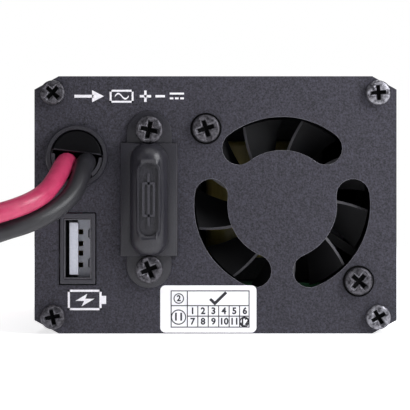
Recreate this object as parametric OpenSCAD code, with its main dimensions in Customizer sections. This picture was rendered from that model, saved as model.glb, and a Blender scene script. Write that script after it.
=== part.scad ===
// Small power inverter: an extruded aluminium case with a sheet-metal panel at each end.
// The DC end carries the fan, the USB outlet, the fuse and the battery leads.
// The AC end carries the mains outlet, the switch and the lamp. The leads end in battery clamps.
// +X is to the right of the DC panel, +Y runs from the DC end to the AC end, +Z is up.
// The origin is the centre of the flat base. All sizes are in millimetres.

/* [Case] */
// Length of the extruded tube
case_l = 150; // [130:5:220]
// Width of the body
body_w = 76; // [76:1:110]
// Height of the body
body_h = 54; // [54:1:80]
// Wall of the tube, with the ribs
wall = 2.6; // [2.4:0.1:3.5]
// Width of each cut corner
corner_w = 5.1; // [4:0.1:6]
// Height of each cut corner
corner_h = 2.8; // [2:0.1:3.4]
// Distance between cooling grooves
groove_pitch = 3.15; // [2.6:0.05:5]
// Width of a cooling groove
groove_w = 0.9; // [0.6:0.1:1.6]
// Depth of a cooling groove
groove_d = 1.3; // [0.6:0.1:1.5]

/* [Panels and screws] */
// Thickness of the end panels
panel_t = 1.2; // [0.8:0.1:2]
// Panel screw, in from the side
screw_in_x = 3.9; // [3.6:0.1:5]
// Panel screw, in from the top or the base
screw_in_z = 3.5; // [3.2:0.1:5]
// Radius of a panel screw's head
corner_head_r = 2.6; // [2.2:0.1:3.2]
// Radius of a fan or fuse cover screw's head
head_r = 2.9; // [2.4:0.1:3.4]
// Height of a screw's head
head_h = 1.7; // [1.2:0.1:2.4]
// Radius of a screw's thread
screw_r = 1.3; // [1:0.05:1.5]
// Length of a panel screw under its head
screw_l = 9; // [6:0.5:14]

/* [Fan] */
// Width and height of the fan's frame
fan_w = 40; // [30:1:40]
// Depth of the fan's frame
fan_t = 10; // [10:1:20]
// Distance between the fan's mounting holes
fan_hole = 32; // [24:1:32]
// Fan centre, in from the right side
fan_in_x = 24; // [23.5:0.5:30]
// Blades of the rotor
blades = 9; // [5:1:11]
// Outer radius of the air slots
slot_out_r = 18.5; // [14:0.1:18.5]
// Inner radius of the air slots
slot_in_r = 11.5; // [8:0.1:11.5]

/* [USB outlet] */
// USB centre, in from the left side
usb_in_x = 9.1; // [8.5:0.1:12]
// USB centre, above the base
usb_up_z = 17.8; // [17.8:0.1:20]
// Width of the USB surround
usb_w = 7.4; // [7:0.1:8]
// Height of the USB surround
usb_h = 14.8; // [14.4:0.1:16]

/* [Strain relief and leads] */
// Strain relief centre, in from the left side
gland_in_x = 8.95; // [8.7:0.05:12]
// Strain relief centre, down from the top
gland_down_z = 16.8; // [12:0.1:18]
// Radius of the strain relief's flange
gland_r = 6.6; // [6.2:0.1:7.4]
// Thickness of the strain relief's flange
gland_t = 1.9; // [1.4:0.1:3]

/* [Fuse] */
// Fuse cover centre, in from the left side
fuse_in_x = 24.1; // [23.8:0.1:28]
// Fuse cover centre, above the middle of the panel
fuse_up_z = 1.1; // [0:0.1:3]
// Width of the cover's plate
fuse_w = 12.1; // [12:0.1:13]
// Height of the cover's plate
fuse_h = 23.8; // [23:0.1:27]
// Distance between the cover's screws
fuse_screws = 29.2; // [29:0.1:34]

/* [AC end] */
// Outlet centre, to one side of the middle
outlet_x = 12; // [10:0.5:16]
// Width of the outlet's face
outlet_w = 30; // [28:0.5:32]
// Height of the outlet's face
outlet_h = 36; // [35:0.5:40]
// Radius of the round earth hole
earth_r = 2.6; // [2.5:0.05:2.8]
// Switch centre, to the other side of the middle
switch_x = 20; // [18:0.5:26]
// Switch centre, down from the top
switch_down_z = 23; // [21:0.5:26]
// Turn of the rocker between off and on
rocker_turn = 18; // [12:1:20]

/* [Circuit board] */
// Thickness of the main board
board_t = 1.6; // [1:0.1:2]
// Top of the board's lower rail, above the base
rail_z = 8.6; // [8:0.1:10]

/* [Battery clamps] */
// Length of a clamp in front of its pivot
nose_l = 30; // [26:1:36]
// Length of a clamp behind its pivot
handle_l = 34; // [30:1:38]
// Width of a clamp's grip
grip_w = 11.6; // [11.6:0.1:13]
// Radius of a clamp's pin
pin_r = 1.5; // [1.2:0.1:1.7]

/* [Hidden] */
$fn = 48;

gap = 0.15;             // clearance round a piece that is pushed into a hole
turn_gap = 0.04;        // running clearance of a shaft in its bearing
front_y = -case_l / 2;  // DC end of the tube
back_y = case_l / 2;    // AC end of the tube
inner_x = body_w / 2 - wall;
board_z = rail_z;
board_top = board_z + board_t;
board_front = front_y + fan_t + 2.5;
fan_x = body_w / 2 - fan_in_x;
fan_z = body_h / 2;
usb_x = usb_in_x - body_w / 2;
gland_x = gland_in_x - body_w / 2;
gland_z = body_h - gland_down_z;
fuse_x = fuse_in_x - body_w / 2;
fuse_z = body_h / 2 + fuse_up_z;
slot_mid_r = (slot_out_r + slot_in_r) / 2;
slot_end_r = (slot_out_r - slot_in_r) / 2;
slot_half_turn = 37.5;  // from a slot's middle to the centre of its rounded end
boss_r = 2.9;
lead_r = 2;             // radius of one battery lead over its insulation
lead_gap = 4.1;         // between the two leads' centres where they leave the strain relief
lead_drop = 1.3;        // from the strain relief's centre down to the leads

// ---------- outlines ----------
function cut_corners(w, h, cw, ch, z = 0) = [[cw - w / 2, z], [w / 2 - cw, z], [w / 2, z + ch],
    [w / 2, z + h - ch], [w / 2 - cw, z + h], [cw - w / 2, z + h], [-w / 2, z + h - ch], [-w / 2, z + ch]];
function arc(r, from, to, n, c = [0, 0]) = [for (k = [0:n])
    c + r * [cos(from + (to - from) * k / n), sin(from + (to - from) * k / n)]];
function rounded(w, h, r, n = 5) = concat(arc(r, 0, 90, n, [w / 2 - r, h / 2 - r]),
    arc(r, 90, 180, n, [r - w / 2, h / 2 - r]), arc(r, 180, 270, n, [r - w / 2, r - h / 2]),
    arc(r, 270, 360, n, [w / 2 - r, r - h / 2]));
function slot_points(mid) = concat(
    arc(slot_out_r, mid + slot_half_turn, mid - slot_half_turn, 18),
    arc(slot_end_r, mid - slot_half_turn - 15, mid - slot_half_turn - 165, 8,
        slot_mid_r * [cos(mid - slot_half_turn), sin(mid - slot_half_turn)]),
    arc(slot_in_r, mid - slot_half_turn, mid + slot_half_turn, 18),
    arc(slot_end_r, mid + slot_half_turn + 165, mid + slot_half_turn + 15, 8,
        slot_mid_r * [cos(mid + slot_half_turn), sin(mid + slot_half_turn)]));

// Local +Z points out of the DC panel's face, and local X and Y are the row's X and Z.
module dc_face() { translate([0, front_y - panel_t, 0]) rotate([90, 0, 0]) children(); }
// Local +Z points out of the AC panel's face, and local X is the row's -X.
module ac_face() { translate([0, back_y + panel_t, 0]) rotate([90, 0, 180]) children(); }
module four_corners() {
    for (sx = [-1, 1], z = [screw_in_z, body_h - screw_in_z])
        translate([sx * (body_w / 2 - screw_in_x), z, 0]) children();
}

// A tube swept along points that never run straight up or down.
function unit(v) = v / norm(v);
function heading(p, i) = unit(p[min(i + 1, len(p) - 1)] - p[max(i - 1, 0)]);
function ring(p, i, r, n) = let (t = heading(p, i), s = unit(cross(t, [0, 0, 1])), u = cross(s, t))
    [for (k = [0:n - 1]) p[i] + r * (cos(360 * k / n) * s + sin(360 * k / n) * u)];
function halves(a, b, c, d) = [[a, b, c], [a, c, d]];
module tube(p, r, n = 8) {
    last = (len(p) - 1) * n;
    polyhedron([for (i = [0:len(p) - 1]) each ring(p, i, r, n)], concat(
        [[for (k = [n - 1:-1:0]) k]], [[for (k = [0:n - 1]) last + k]],
        [for (i = [0:len(p) - 2], k = [0:n - 1]) each
            halves(i * n + k, i * n + (k + 1) % n, (i + 1) * n + (k + 1) % n, (i + 1) * n + k)]));
}

// ---------- case and panels ----------
module grooves(count) {
    for (k = [0:count - 1])
        translate([(k - (count - 1) / 2) * groove_pitch, 0]) square([groove_w, 2 * groove_d], center = true);
}
module case_tube() {
    top_count = floor((body_w - 2 * corner_w - 4) / groove_pitch);
    base_count = 2 * floor(top_count / 2);  // even, so that a rib runs along the middle of the base
    side_count = floor((body_h - 2 * corner_h - 8) / groove_pitch);
    color("#3a3940") translate([0, back_y, 0]) rotate([90, 0, 0]) linear_extrude(case_l) difference() {
        polygon(cut_corners(body_w, body_h, corner_w, corner_h));
        translate([0, body_h]) grooves(top_count);
        grooves(base_count);
        for (sx = [-1, 1]) translate([sx * body_w / 2, body_h / 2]) rotate(90) grooves(side_count);
        difference() {
            polygon(cut_corners(body_w - 2 * wall, body_h - 2 * wall, corner_w, corner_h, wall));
            four_corners() circle(boss_r);
            for (sx = [-1, 1], z = [rail_z - 1.2, board_top + 0.15])
                translate([sx * inner_x, z + 0.6]) square([2.4, 1.2], center = true);
        }
        four_corners() circle(screw_r);
    }
}
module panel_sheet() {
    translate([0, 0, -panel_t]) linear_extrude(panel_t)
        polygon(cut_corners(body_w, body_h, corner_w, corner_h));
}
module through(r) { translate([0, 0, -panel_t - 1]) cylinder(r = r, h = panel_t + 2); }
module dc_end_panel() {
    color("#45444c") dc_face() difference() {
        panel_sheet();
        four_corners() through(screw_r + gap);
        translate([fan_x, fan_z, 0]) {
            for (a = [90, 210, 330]) translate([0, 0, -panel_t - 1]) linear_extrude(panel_t + 2)
                polygon(slot_points(a));
            for (s = [-1, 1]) translate([s * fan_hole / 2, -s * fan_hole / 2, 0]) through(screw_r + gap);
        }
        translate([gland_x, gland_z, 0]) through(gland_r - 1);
        translate([usb_x, usb_up_z, 0]) cube([usb_w + 0.4, usb_h + 0.4, 4 * panel_t], center = true);
        translate([fuse_x, fuse_z, 0]) {
            cube([6.2, 20.4, 4 * panel_t], center = true);
            for (s = [-1, 1]) translate([0, s * fuse_screws / 2, 0]) through(screw_r + gap);
        }
    }
}
vents = 5;
vent_w = 2.2;
vent_l = 9;
vent_z = 10.5;
module ac_end_panel() {
    color("#45444c") ac_face() difference() {
        panel_sheet();
        four_corners() through(screw_r + gap);
        translate([-outlet_x, body_h / 2, 0])
            cube([outlet_w - 3.6, outlet_h - 3.6, 4 * panel_t], center = true);
        translate([switch_x, body_h - switch_down_z, 0]) cube([13.2, 19.2, 4 * panel_t], center = true);
        translate([switch_x, body_h - 7.5, 0]) through(1.6);
        for (k = [0:vents - 1]) translate([switch_x + (k - (vents - 1) / 2) * 4, vent_z, -2 * panel_t])
            linear_extrude(4 * panel_t) polygon(rounded(vent_w, vent_l, vent_w / 2 - 0.01));
    }
}

// A cross-recessed pan head on a plain shank, standing on the panel's face.
module pan_screw(r, l, turn) {
    difference() {
        rotate_extrude() polygon(concat([[0, -l], [screw_r - 0.05, -l], [screw_r - 0.05, 0], [r, 0]],
            [for (k = [0:6]) [r * cos(k * 13), 0.5 + (head_h - 0.5) * sin(k * 13) / sin(78)]], [[0, head_h]]));
        rotate(turn) for (a = [0, 90]) rotate(a)
            translate([0, 0, head_h]) cube([r * 1.15, 0.8, 2.2], center = true);
    }
}
module dc_panel_screws() {
    color("#8a8890") dc_face() for (sx = [-1, 1], s = [0, 1])
        translate([sx * (body_w / 2 - screw_in_x), screw_in_z + s * (body_h - 2 * screw_in_z), 0])
            pan_screw(corner_head_r, screw_l, 20 + 25 * (sx + 2 * s));
}
module ac_panel_screws() {
    color("#8a8890") ac_face() for (sx = [-1, 1], s = [0, 1])
        translate([sx * (body_w / 2 - screw_in_x), screw_in_z + s * (body_h - 2 * screw_in_z), 0])
            pan_screw(corner_head_r, screw_l, 10 + 35 * (sx + 2 * s));
}

// ---------- strain relief ----------
gland_bore_r = gland_r - 1.3;
module lead_slot(h) {
    translate([0, -lead_drop, 0]) linear_extrude(h, center = true)
        polygon(rounded(2 * lead_gap + 0.5, lead_gap + 0.3, lead_gap / 2));
}
module gland_place() { dc_face() translate([gland_x, gland_z, 0]) children(); }
module strain_relief_body() {
    color("#222126") gland_place() difference() {
        rotate_extrude() polygon([[0, -7], [gland_r - 1.6, -7], [gland_r - 1.15, -5.5], [gland_r - 1.15, 0],
            [gland_r, 0], [gland_r, gland_t - 0.6], [gland_r - 0.6, gland_t], [0, gland_t]]);
        intersection() {
            translate([0, 0, -8]) cylinder(r = gland_bore_r, h = 12);
            translate([-10, 0.9, -8]) cube([20, 20, 12]);
        }
        lead_slot(30);
    }
}
module strain_relief_wedge() {
    color("#16151a") gland_place() difference() {
        intersection() {
            translate([0, 0, -6.6]) cylinder(r = gland_bore_r - 0.08, h = 6.6 + gland_t - 0.5);
            translate([-10, 0.9, -8]) cube([20, 20, 12]);
        }
        lead_slot(30);
    }
}

// ---------- USB outlet ----------
usb_open_w = 5.8;       // outside of the metal shell
usb_open_h = 12.7;
usb_shell_t = 0.3;
tongue_w = 1.9;
tongue_h = 11;
tongue_x = 0.6 + usb_shell_t - usb_open_w / 2;
module usb_place() { dc_face() translate([usb_x, usb_up_z, 0]) children(); }
module usb_surround() {
    color("#4b4a53") usb_place() difference() {
        translate([-usb_w / 2, -usb_h / 2, -6]) cube([usb_w, usb_h, 6.4]);
        cube([usb_open_w, usb_open_h, 20], center = true);
    }
}
module usb_shell() {
    color("#b9b7b4") usb_place() difference() {
        translate([-usb_open_w / 2, -usb_open_h / 2, -13]) cube([usb_open_w, usb_open_h, 12.9]);
        translate([usb_shell_t - usb_open_w / 2, usb_shell_t - usb_open_h / 2, -12.4])
            cube([usb_open_w - 2 * usb_shell_t, usb_open_h - 2 * usb_shell_t, 20]);
        for (s = [-1, 1]) translate([usb_open_w / 2, s * 3, -7]) cube([2, 1.6, 7], center = true);
    }
}
module usb_tongue() {
    color("#d8dae2") usb_place() translate([tongue_x, -tongue_h / 2, -12.35]) cube([tongue_w, tongue_h, 11.3]);
}
module usb_contacts() {
    color("#b08a4a") usb_place() for (y = [-3.5, -1, 1, 3.5])
        translate([tongue_x + tongue_w, y - 0.5, -11.5]) cube([0.35, 1, 9.7]);
}
module usb_board() {
    color("#1d5a34") dc_face() translate([usb_x + usb_w / 2 + 0.2, usb_up_z - 7, -24])
        cube([1.4, 22, 23 - panel_t]);
}

// ---------- fuse ----------
fuse_out = 3.2;
module fuse_place() { dc_face() translate([fuse_x, fuse_z, 0]) children(); }
module fuse_cover() {
    color("#3a3840") fuse_place() difference() {
        union() {
            translate([-fuse_w / 2, -fuse_h / 2, 0]) cube([fuse_w, fuse_h, 2.2]);
            linear_extrude(1) polygon(rounded(9.4, fuse_screws + 7.8, 4.69, 10));
            hull() for (s = [-1, 1]) translate([0, s * 8, 2.2]) sphere(r = 4, $fn = 32);
        }
        translate([0, 0, fuse_out / 2]) cube([5.8, 20, fuse_out + 0.8], center = true);
        translate([-10, -30, -20]) cube([20, 60, 20]);
        translate([0, 0, 5.4]) linear_extrude(3) polygon(rounded(4, 15.2, 1.9));
        for (s = [-1, 1]) translate([0, s * fuse_screws / 2, 0]) {
            translate([0, 0, -1]) cylinder(r = screw_r + gap, h = 4);
            translate([0, 0, 1]) cylinder(r = head_r + gap, h = 6);
        }
    }
}
module fuse_cover_screws() {
    color("#8a8890") fuse_place() for (s = [-1, 1])
        translate([0, s * fuse_screws / 2, 1]) pan_screw(head_r, 8, s * 28 + 50);
}
module fuse_holder() {
    color("#1c1b1f") fuse_place() difference() {
        union() {
            translate([-4.6, -fuse_screws / 2 - 3.4, -panel_t - 3]) cube([9.2, fuse_screws + 6.8, 3]);
            translate([-4.6, -11.6, -panel_t - 18]) cube([9.2, 23.2, 18]);
        }
        translate([-2.9, -9.9, -panel_t - 8.5]) cube([5.8, 19.8, 9]);
        for (s = [-1, 1]) {
            translate([0, s * 7.2, -panel_t - 9]) cube([1.6, 5.8, 19], center = true);
            translate([0, s * fuse_screws / 2, -panel_t - 5]) cylinder(r = screw_r, h = 6);
        }
    }
}
module blade_fuse() {
    color("#d06a1e") fuse_place() difference() {
        translate([-2.55, -9.5, -panel_t - 8.3]) cube([5.1, 19, fuse_out + panel_t + 8.3]);
        for (s = [-1, 1]) translate([0, s * 7.2, -panel_t - 6]) cube([0.75, 5.3, 8], center = true);
    }
}
module fuse_blades() {
    color("#c9c9cc") fuse_place() for (s = [-1, 1])
        translate([0, s * 7.2, -panel_t - 9]) cube([0.65, 5.2, 14 - 0.2], center = true);
}

// ---------- fan ----------
hub_r = 11;
blade_r = 18.2;
duct_r = 18.9;
rotor_front = -0.9;     // front of the hub behind the panel's back face
hub_l = 7;
hub_top = 1.2;          // thickness of the hub's front wall
shaft_r = 1;
bearing_r = 2.4;
blade_turn = 26;        // angle that one blade covers, seen from the front
blade_first = 75.9;
module fan_place() { translate([fan_x, front_y, fan_z]) rotate([90, 0, 0]) children(); }
module fan_frame() {
    color("#141317") fan_place() difference() {
        translate([0, 0, -fan_t]) linear_extrude(fan_t) polygon(rounded(fan_w, fan_w, 3));
        translate([0, 0, 1.5 - fan_t]) cylinder(r = duct_r, h = fan_t);
        translate([0, 0, -fan_t - 1]) difference() {
            cylinder(r = duct_r, h = 4);
            cylinder(r = 9.5, h = 4);
            for (a = [45:90:315]) rotate(a + 12) translate([0, -1, 0]) cube([duct_r + 1, 2, 4]);
        }
        translate([0, 0, -fan_t - 1]) cylinder(r = bearing_r, h = 4);
        for (a = [45:90:315]) rotate(a) translate([fan_hole / sqrt(2), 0, -fan_t - 1])
            cylinder(r = screw_r, h = fan_t + 2);
    }
}
function blade_point(i, j, side) = let (r = hub_r - 0.4 + (blade_r - hub_r + 0.4) * i / 4,
    a = 8.5 * (1 - i / 4) - blade_turn * j / 4)
    [r * cos(a), r * sin(a), rotor_front - 0.6 - 5.3 * j / 4 - 0.8 * side - 0.35 * sin(45 * j)];
module blade() {
    polyhedron([for (side = [0, 1], i = [0:4], j = [0:4]) blade_point(i, j, side)], concat(
        [for (i = [0:3], j = [0:3], a = 5 * i + j) each halves(a, a + 5, a + 6, a + 1)],
        [for (i = [0:3], j = [0:3], a = 25 + 5 * i + j) each halves(a + 1, a + 6, a + 5, a)],
        [for (j = [0:3]) each halves(j, j + 1, 26 + j, 25 + j)],
        [for (j = [0:3]) each halves(21 + j, 20 + j, 45 + j, 46 + j)],
        [for (i = [0:3], a = 5 * i) each halves(a + 5, a, a + 25, a + 30)],
        [for (i = [0:3], a = 5 * i) each halves(a + 4, a + 9, a + 34, a + 29)]));
}
module fan_rotor() {
    color("#1c1b20") fan_place() union() {
        difference() {
            translate([0, 0, rotor_front - hub_l]) cylinder(r = hub_r, h = hub_l);
            translate([0, 0, rotor_front - hub_l - 1]) cylinder(r = hub_r - 1, h = hub_l + 1 - hub_top);
        }
        for (k = [0:blades - 1]) rotate(blade_first + k * 360 / blades) blade();
    }
}
module fan_shaft() {
    color("#c9c9cc") fan_place() translate([0, 0, -fan_t + 0.3])
        cylinder(r = shaft_r, h = fan_t - 0.3 + rotor_front - hub_top);
}
module fan_magnet() {
    color("#2b2a2c") fan_place() translate([0, 0, rotor_front - hub_l + 0.3]) difference() {
        cylinder(r = hub_r - 1, h = hub_l - 1.5);
        translate([0, 0, -1]) cylinder(r = hub_r - 2.2, h = hub_l + 2);
    }
}
module fan_bearing() {
    color("#b08a4a") fan_place() translate([0, 0, -fan_t + 0.1]) difference() {
        cylinder(r = bearing_r, h = 6.5);
        translate([0, 0, -1]) cylinder(r = shaft_r + turn_gap, h = 10);
    }
}
module fan_stator() {
    color("#9a5a34") fan_place() translate([0, 0, -fan_t + 1.8]) difference() {
        union() {
            cylinder(r = 4.2, h = 4);
            for (a = [0:90:270]) rotate(a) {
                translate([0, -1.2, 0]) cube([8, 2.4, 4]);
                intersection() {
                    translate([6.9, -3.6, 0.5]) cube([2, 7.2, 3]);
                    cylinder(r = 8.4, h = 4);
                }
            }
        }
        translate([0, 0, -1]) cylinder(r = bearing_r, h = 10);
    }
}
module fan_screws() {
    color("#8a8890") dc_face() for (s = [-1, 1])
        translate([fan_x + s * fan_hole / 2, fan_z - s * fan_hole / 2, 0]) pan_screw(head_r, 8, 18 + 30 * s);
}
module inspection_label() {
    color("white") dc_face() translate([-1.5, 5.15, 0]) linear_extrude(0.12) polygon(rounded(20.2, 9.9, 1.1));
}

// ---------- circuit board ----------
module main_board() {
    color("#1d5a34") translate([-inner_x + 0.3, board_front, board_z])
        cube([2 * inner_x - 0.6, back_y - 8 - board_front, board_t]);
}
core_x = fan_x - 6;
core_y = board_front + 22;
core_w = 32;
core_d = 14;
core_h = 36;
core_leg = 9;
yoke = 5;
window_w = (core_w - core_leg) / 2 - yoke;
wind_w = 20;
wind_d = 26;
module transformer_core() {
    color("#2a2a2d") translate([core_x, core_y, board_top]) difference() {
        translate([-core_w / 2, -core_d / 2, 0]) cube([core_w, core_d, core_h]);
        for (s = [-1, 1]) translate([s * (core_leg + window_w) / 2, 0, core_h / 2])
            cube([window_w, core_d + 2, core_h - 2 * yoke], center = true);
    }
}
module transformer_winding() {
    color("#c9a227") translate([core_x, core_y, board_top + core_h / 2]) difference() {
        linear_extrude(core_h - 2 * yoke - 0.4, center = true) polygon(rounded(wind_w, wind_d, 5));
        cube([core_leg + 0.2, core_d + 0.2, core_h], center = true);
    }
}
module can(r, h) {
    rotate_extrude() polygon([[0, 0], [r - 0.4, 0], [r, 0.4], [r, 1.6], [r - 0.5, 2.2], [r, 2.8], [r, h - 0.5],
        [r - 0.5, h], [0, h]]);
}
module input_capacitors() {
    color("#26304a") for (k = [0:2]) translate([-24 + 11.2 * k, board_front + 48, board_top]) can(5, 20);
}
module bulk_capacitor() { color("#202024") translate([14, back_y - 46, board_top]) can(9, 30); }
transistor_y = board_front + 62;
module transistors() {
    color("#1a1a1c") for (sx = [-1, 1], k = [0:3]) translate([sx * inner_x, transistor_y + 13 * k, board_top]) {
        translate([sx > 0 ? -4.5 : 0, -5, 5]) cube([4.5, 10, 9]);
        translate([sx > 0 ? -1.3 : 0, -5, 13.9]) cube([1.3, 10, 6.5]);
        for (p = [-2.54, 0, 2.54]) translate([-sx * 2.5 - 0.3, p - 0.4, 0]) cube([0.6, 0.8, 5.1]);
    }
}
module transistor_clamps() {
    color("#a9abb0") for (sx = [-1, 1]) {
        translate([sx * (inner_x - 6) - 1.5, transistor_y - 6, board_top + 6.5]) cube([3, 51, 6]);
        for (k = [0:1]) translate([sx * (inner_x - 7.4), transistor_y + 6.5 + 26 * k, board_top + 9.5])
            rotate([0, -sx * 90, 0]) cylinder(r = 2.6, h = 1.6);
    }
}
module filter_choke() {
    color("#8c5a2b") translate([-14, back_y - 38, board_top + 11.6]) rotate([90, 0, 0])
        rotate_extrude() translate([7.6, 0]) circle(4, $fn = 24);
}
module control_chips() {
    color("#1a1a1c") for (p = [[-16, 66], [-4, 66], [8, 66]])
        translate([p[0], board_front + p[1], board_top]) {
            translate([-3.2, -9.5, 1]) cube([6.4, 19, 3.4]);
            for (s = [-1, 1], k = [0:6]) translate([s * 3.6 - 0.4, -8 + 2.54 * k, 0]) cube([0.8, 0.6, 2.6]);
        }
}
entry_y = front_y + 3;  // where the leads become the inner wires, inside the strain relief
module dc_input_wires() {
    for (s = [-1, 1]) {
        x = gland_x + s * lead_gap / 2;
        z = gland_z - lead_drop;
        color(s < 0 ? "#c8203c" : "#2a2a2e") tube([[x, entry_y, z], [x, entry_y + 6, z],
            [x - 0.3, entry_y + 11, z - 2], [x - 0.8, entry_y + 15, z - 6], [x - 0.8, entry_y + 19, z - 11],
            [x - 0.8, entry_y + 23.5, board_top + 7.5], [x, entry_y + 28.5, board_top + 3.5],
            [x + 0.5, entry_y + 34, board_top + 2.1]], lead_r);
    }
}
outlet_deep = 18;       // of the outlet's body behind the panel's face
module ac_output_wires() {
    for (s = [-1, 1]) {
        x = outlet_x + s * 6.35;
        y = back_y + panel_t - outlet_deep - 2;
        z = body_h / 2 + 4;
        color(s < 0 ? "#1d1d20" : "#e6e6e6") tube([[x, y, z], [x, y - 3, z], [x - s, y - 6, z - 3],
            [x - 2 * s, y - 7.6, z - 9], [x - 3 * s, y - 8.6, board_top + 5],
            [x - 3 * s, y - 11, board_top + 1.1]], 0.9);
    }
}

// ---------- AC outlet, switch and lamp ----------
module outlet_place() { ac_face() translate([-outlet_x, body_h / 2, 0]) children(); }
module outlet_body() {
    color("#1b1a1d") outlet_place() difference() {
        union() {
            linear_extrude(1.8) polygon(rounded(outlet_w, outlet_h, 2.5));
            translate([0, 0, -outlet_deep]) linear_extrude(outlet_deep)
                polygon(rounded(outlet_w - 4, outlet_h - 4, 2));
        }
        for (s = [-1, 1]) translate([s * 6.35, 4, 0]) cube([2.1, s > 0 ? 7 : 8.4, 60], center = true);
        translate([0, -7.9, 3 - outlet_deep]) cylinder(r = earth_r, h = 60);
    }
}
module outlet_contacts() {
    color("#b08a4a") outlet_place() {
        for (s = [-1, 1], t = [-1, 1])
            translate([s * 6.35 + t * 0.75 - 0.2, 1.2, -outlet_deep - 1]) cube([0.4, 5.6, 9]);
        for (s = [-1, 1]) translate([s * 6.35 - 1.5, 1.2, -outlet_deep - 2]) cube([3, 5.6, 1]);
        translate([0, -7.9, -outlet_deep - 2]) cylinder(r = 3.4, h = 2);
    }
}
switch_w = 15;
switch_h = 21;
rocker_w = 10.6;
module switch_place() { ac_face() translate([switch_x, body_h - switch_down_z, 0]) children(); }
module switch_housing() {
    color("#1b1a1d") switch_place() difference() {
        union() {
            linear_extrude(2) polygon(rounded(switch_w, switch_h, 1.2));
            translate([-6.5, -9.5, -13]) cube([13, 19, 13]);
        }
        translate([-rocker_w / 2 - 0.2, -8.6, -6]) cube([rocker_w + 0.4, 17.2, 12]);
        translate([-6, 0, -1.5]) rotate([0, 90, 0]) cylinder(r = 1.2 + turn_gap, h = 12);
    }
}
module switch_rocker() {
    color("#1b1a1d") switch_place() translate([0, 0, -1.5]) rotate([rocker_turn / 2, 0, 0]) {
        rotate([90, 0, 90]) linear_extrude(rocker_w, center = true)
            polygon([[-5.6, -3], [5.6, -3], [7.4, 3], [7.4, 6.6], [6.9, 7], [0, 5.6], [-6.9, 7], [-7.4, 6.6],
                [-7.4, 3]]);
        rotate([0, 90, 0]) cylinder(r = 1.2, h = rocker_w + 1.2, center = true);
    }
}
module switch_terminals() {
    color("#c9c9cc") switch_place() for (s = [-1, 1]) translate([-2.4, s * 5 - 0.4, -21]) cube([4.8, 0.8, 8]);
}
module power_lamp() {
    color("#2faa4a") ac_face() translate([switch_x, body_h - 7.5, 0]) rotate_extrude()
        polygon(concat([[0, -7], [2, -7], [2, -panel_t], [1.5, -panel_t]],
            [for (k = [0:5]) [1.5 * cos(18 * k), 0.5 + 1.5 * sin(18 * k)]]));
}

// ---------- leads ----------
// Route points: X from the strain relief's centre, Y from the tube's front end, Z above the floor.
red_route = [[-2.05, 3, 35.9], [-2.05, -3, 35.9], [-2.05, -6, 35.8], [-2.4, -9.5, 35.1], [-3, -13.3, 33.5],
    [-4, -16.8, 31.5], [-5.6, -20, 29.4], [-7.8, -22.8, 27.8], [-11, -25, 26.4], [-15, -26.6, 25.1],
    [-20, -27.2, 23.3], [-25.7, -26.2, 20.8], [-31.4, -22.9, 17.4], [-36.4, -17.6, 13.4], [-40, -11, 9.4],
    [-42.4, -3.8, 6], [-43.6, 3.8, 3.6], [-44, 11.4, 2.3], [-44, 19, 2], [-44, 27, 2]];
black_route = [[2.05, 3, 35.9], [2.05, -3, 35.9], [2.05, -6, 35.7], [1.8, -9.3, 34.7], [1.2, -12.5, 32.5],
    [0.1, -15.3, 29.8], [-2, -17.9, 27.1], [-4.9, -20.2, 24.8], [-8.8, -22.2, 22.9], [-13.4, -23.6, 21.3],
    [-18.6, -24, 19.4], [-24, -23, 16.9], [-29.2, -20.2, 14], [-33.4, -15.6, 10.6], [-36.6, -9.6, 7.2],
    [-38.6, -3, 4.5], [-39.5, 4, 2.7], [-39.8, 11.4, 2], [-39.8, 19, 2], [-39.8, 27, 2]];
red_tail_route = [[-37.8, 35, 5.6], [-37.8, 42, 5.2], [-37.6, 49, 4.2], [-36.8, 56, 3.3], [-35.2, 63, 3.1],
    [-33.5, 70, 3.8], [-32.4, 77.2, 5], [-32.5, 84.4, 5.8], [-33.9, 89.3, 5.8], [-36.7, 99, 5.8]];
black_tail_route = [[-41.9, 35, 5.7], [-41.9, 42, 5.9], [-42.2, 49, 5.1], [-43.7, 56, 3.9], [-47.2, 62.2, 3.1],
    [-52.4, 66.6, 2.9], [-58.6, 69.4, 3.4], [-64.2, 72.8, 4.3], [-68.4, 77.9, 5.3], [-71, 84.4, 5.8],
    [-72.4, 89.3, 5.8], [-75.2, 99, 5.8]];
function placed(p) = [for (q = p) [gland_x + q[0], front_y + q[1], q[2]]];
// The same, with the far end on the floor and the near end at the strain relief's height
function hung(p) = [for (q = placed(p)) [q[0], q[1],
    lead_r + (q[2] - lead_r) * (gland_z - lead_drop - lead_r) / (35.9 - lead_r)]];
module red_lead() { color("#c8203c") tube(hung(red_route), lead_r); }
module black_lead() { color("#3a3940") tube(hung(black_route), lead_r); }
module red_tail() { color("#c8203c") tube(placed(red_tail_route), lead_r); }
module black_tail() { color("#3a3940") tube(placed(black_tail_route), lead_r); }

coil_in = 14.8;         // inside radius of the coil
coil_out = 31.4;        // outside radius of the coil
coil_mid = (coil_in + coil_out) / 2;
tie_w = 6;
module coil_place() { translate([gland_x - 69, front_y + 31, 0]) children(); }
// The section of the turns: four leads side by side on the floor, and three or four on top of them.
module coil_section(s) {
    polygon([[-8.3 * s, 4 - 4 * s], [8.3 * s, 4 - 4 * s], [8.3 * s, 4.2], [6.3 * s, 4 + 3.8 * s],
        [-6.3 * s, 4 + 3.8 * s], [-8.3 * s, 4.2]]);
}
module tie_band() {
    translate([-coil_mid, 0, 0]) rotate([90, 0, 0]) linear_extrude(tie_w, center = true) difference() {
        coil_section(1);
        coil_section(0.9);
    }
}
module lead_coil() {
    color("#5a2630") coil_place() difference() {
        rotate_extrude() translate([coil_mid, 0]) coil_section(1);
        translate([-coil_mid, 0, 0]) rotate([90, 0, 0]) linear_extrude(tie_w, center = true) difference() {
            translate([-11, -2]) square([22, 12]);
            coil_section(0.9);
        }
    }
}
module coil_tie() { color("#1b1a1d") coil_place() tie_band(); }

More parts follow.
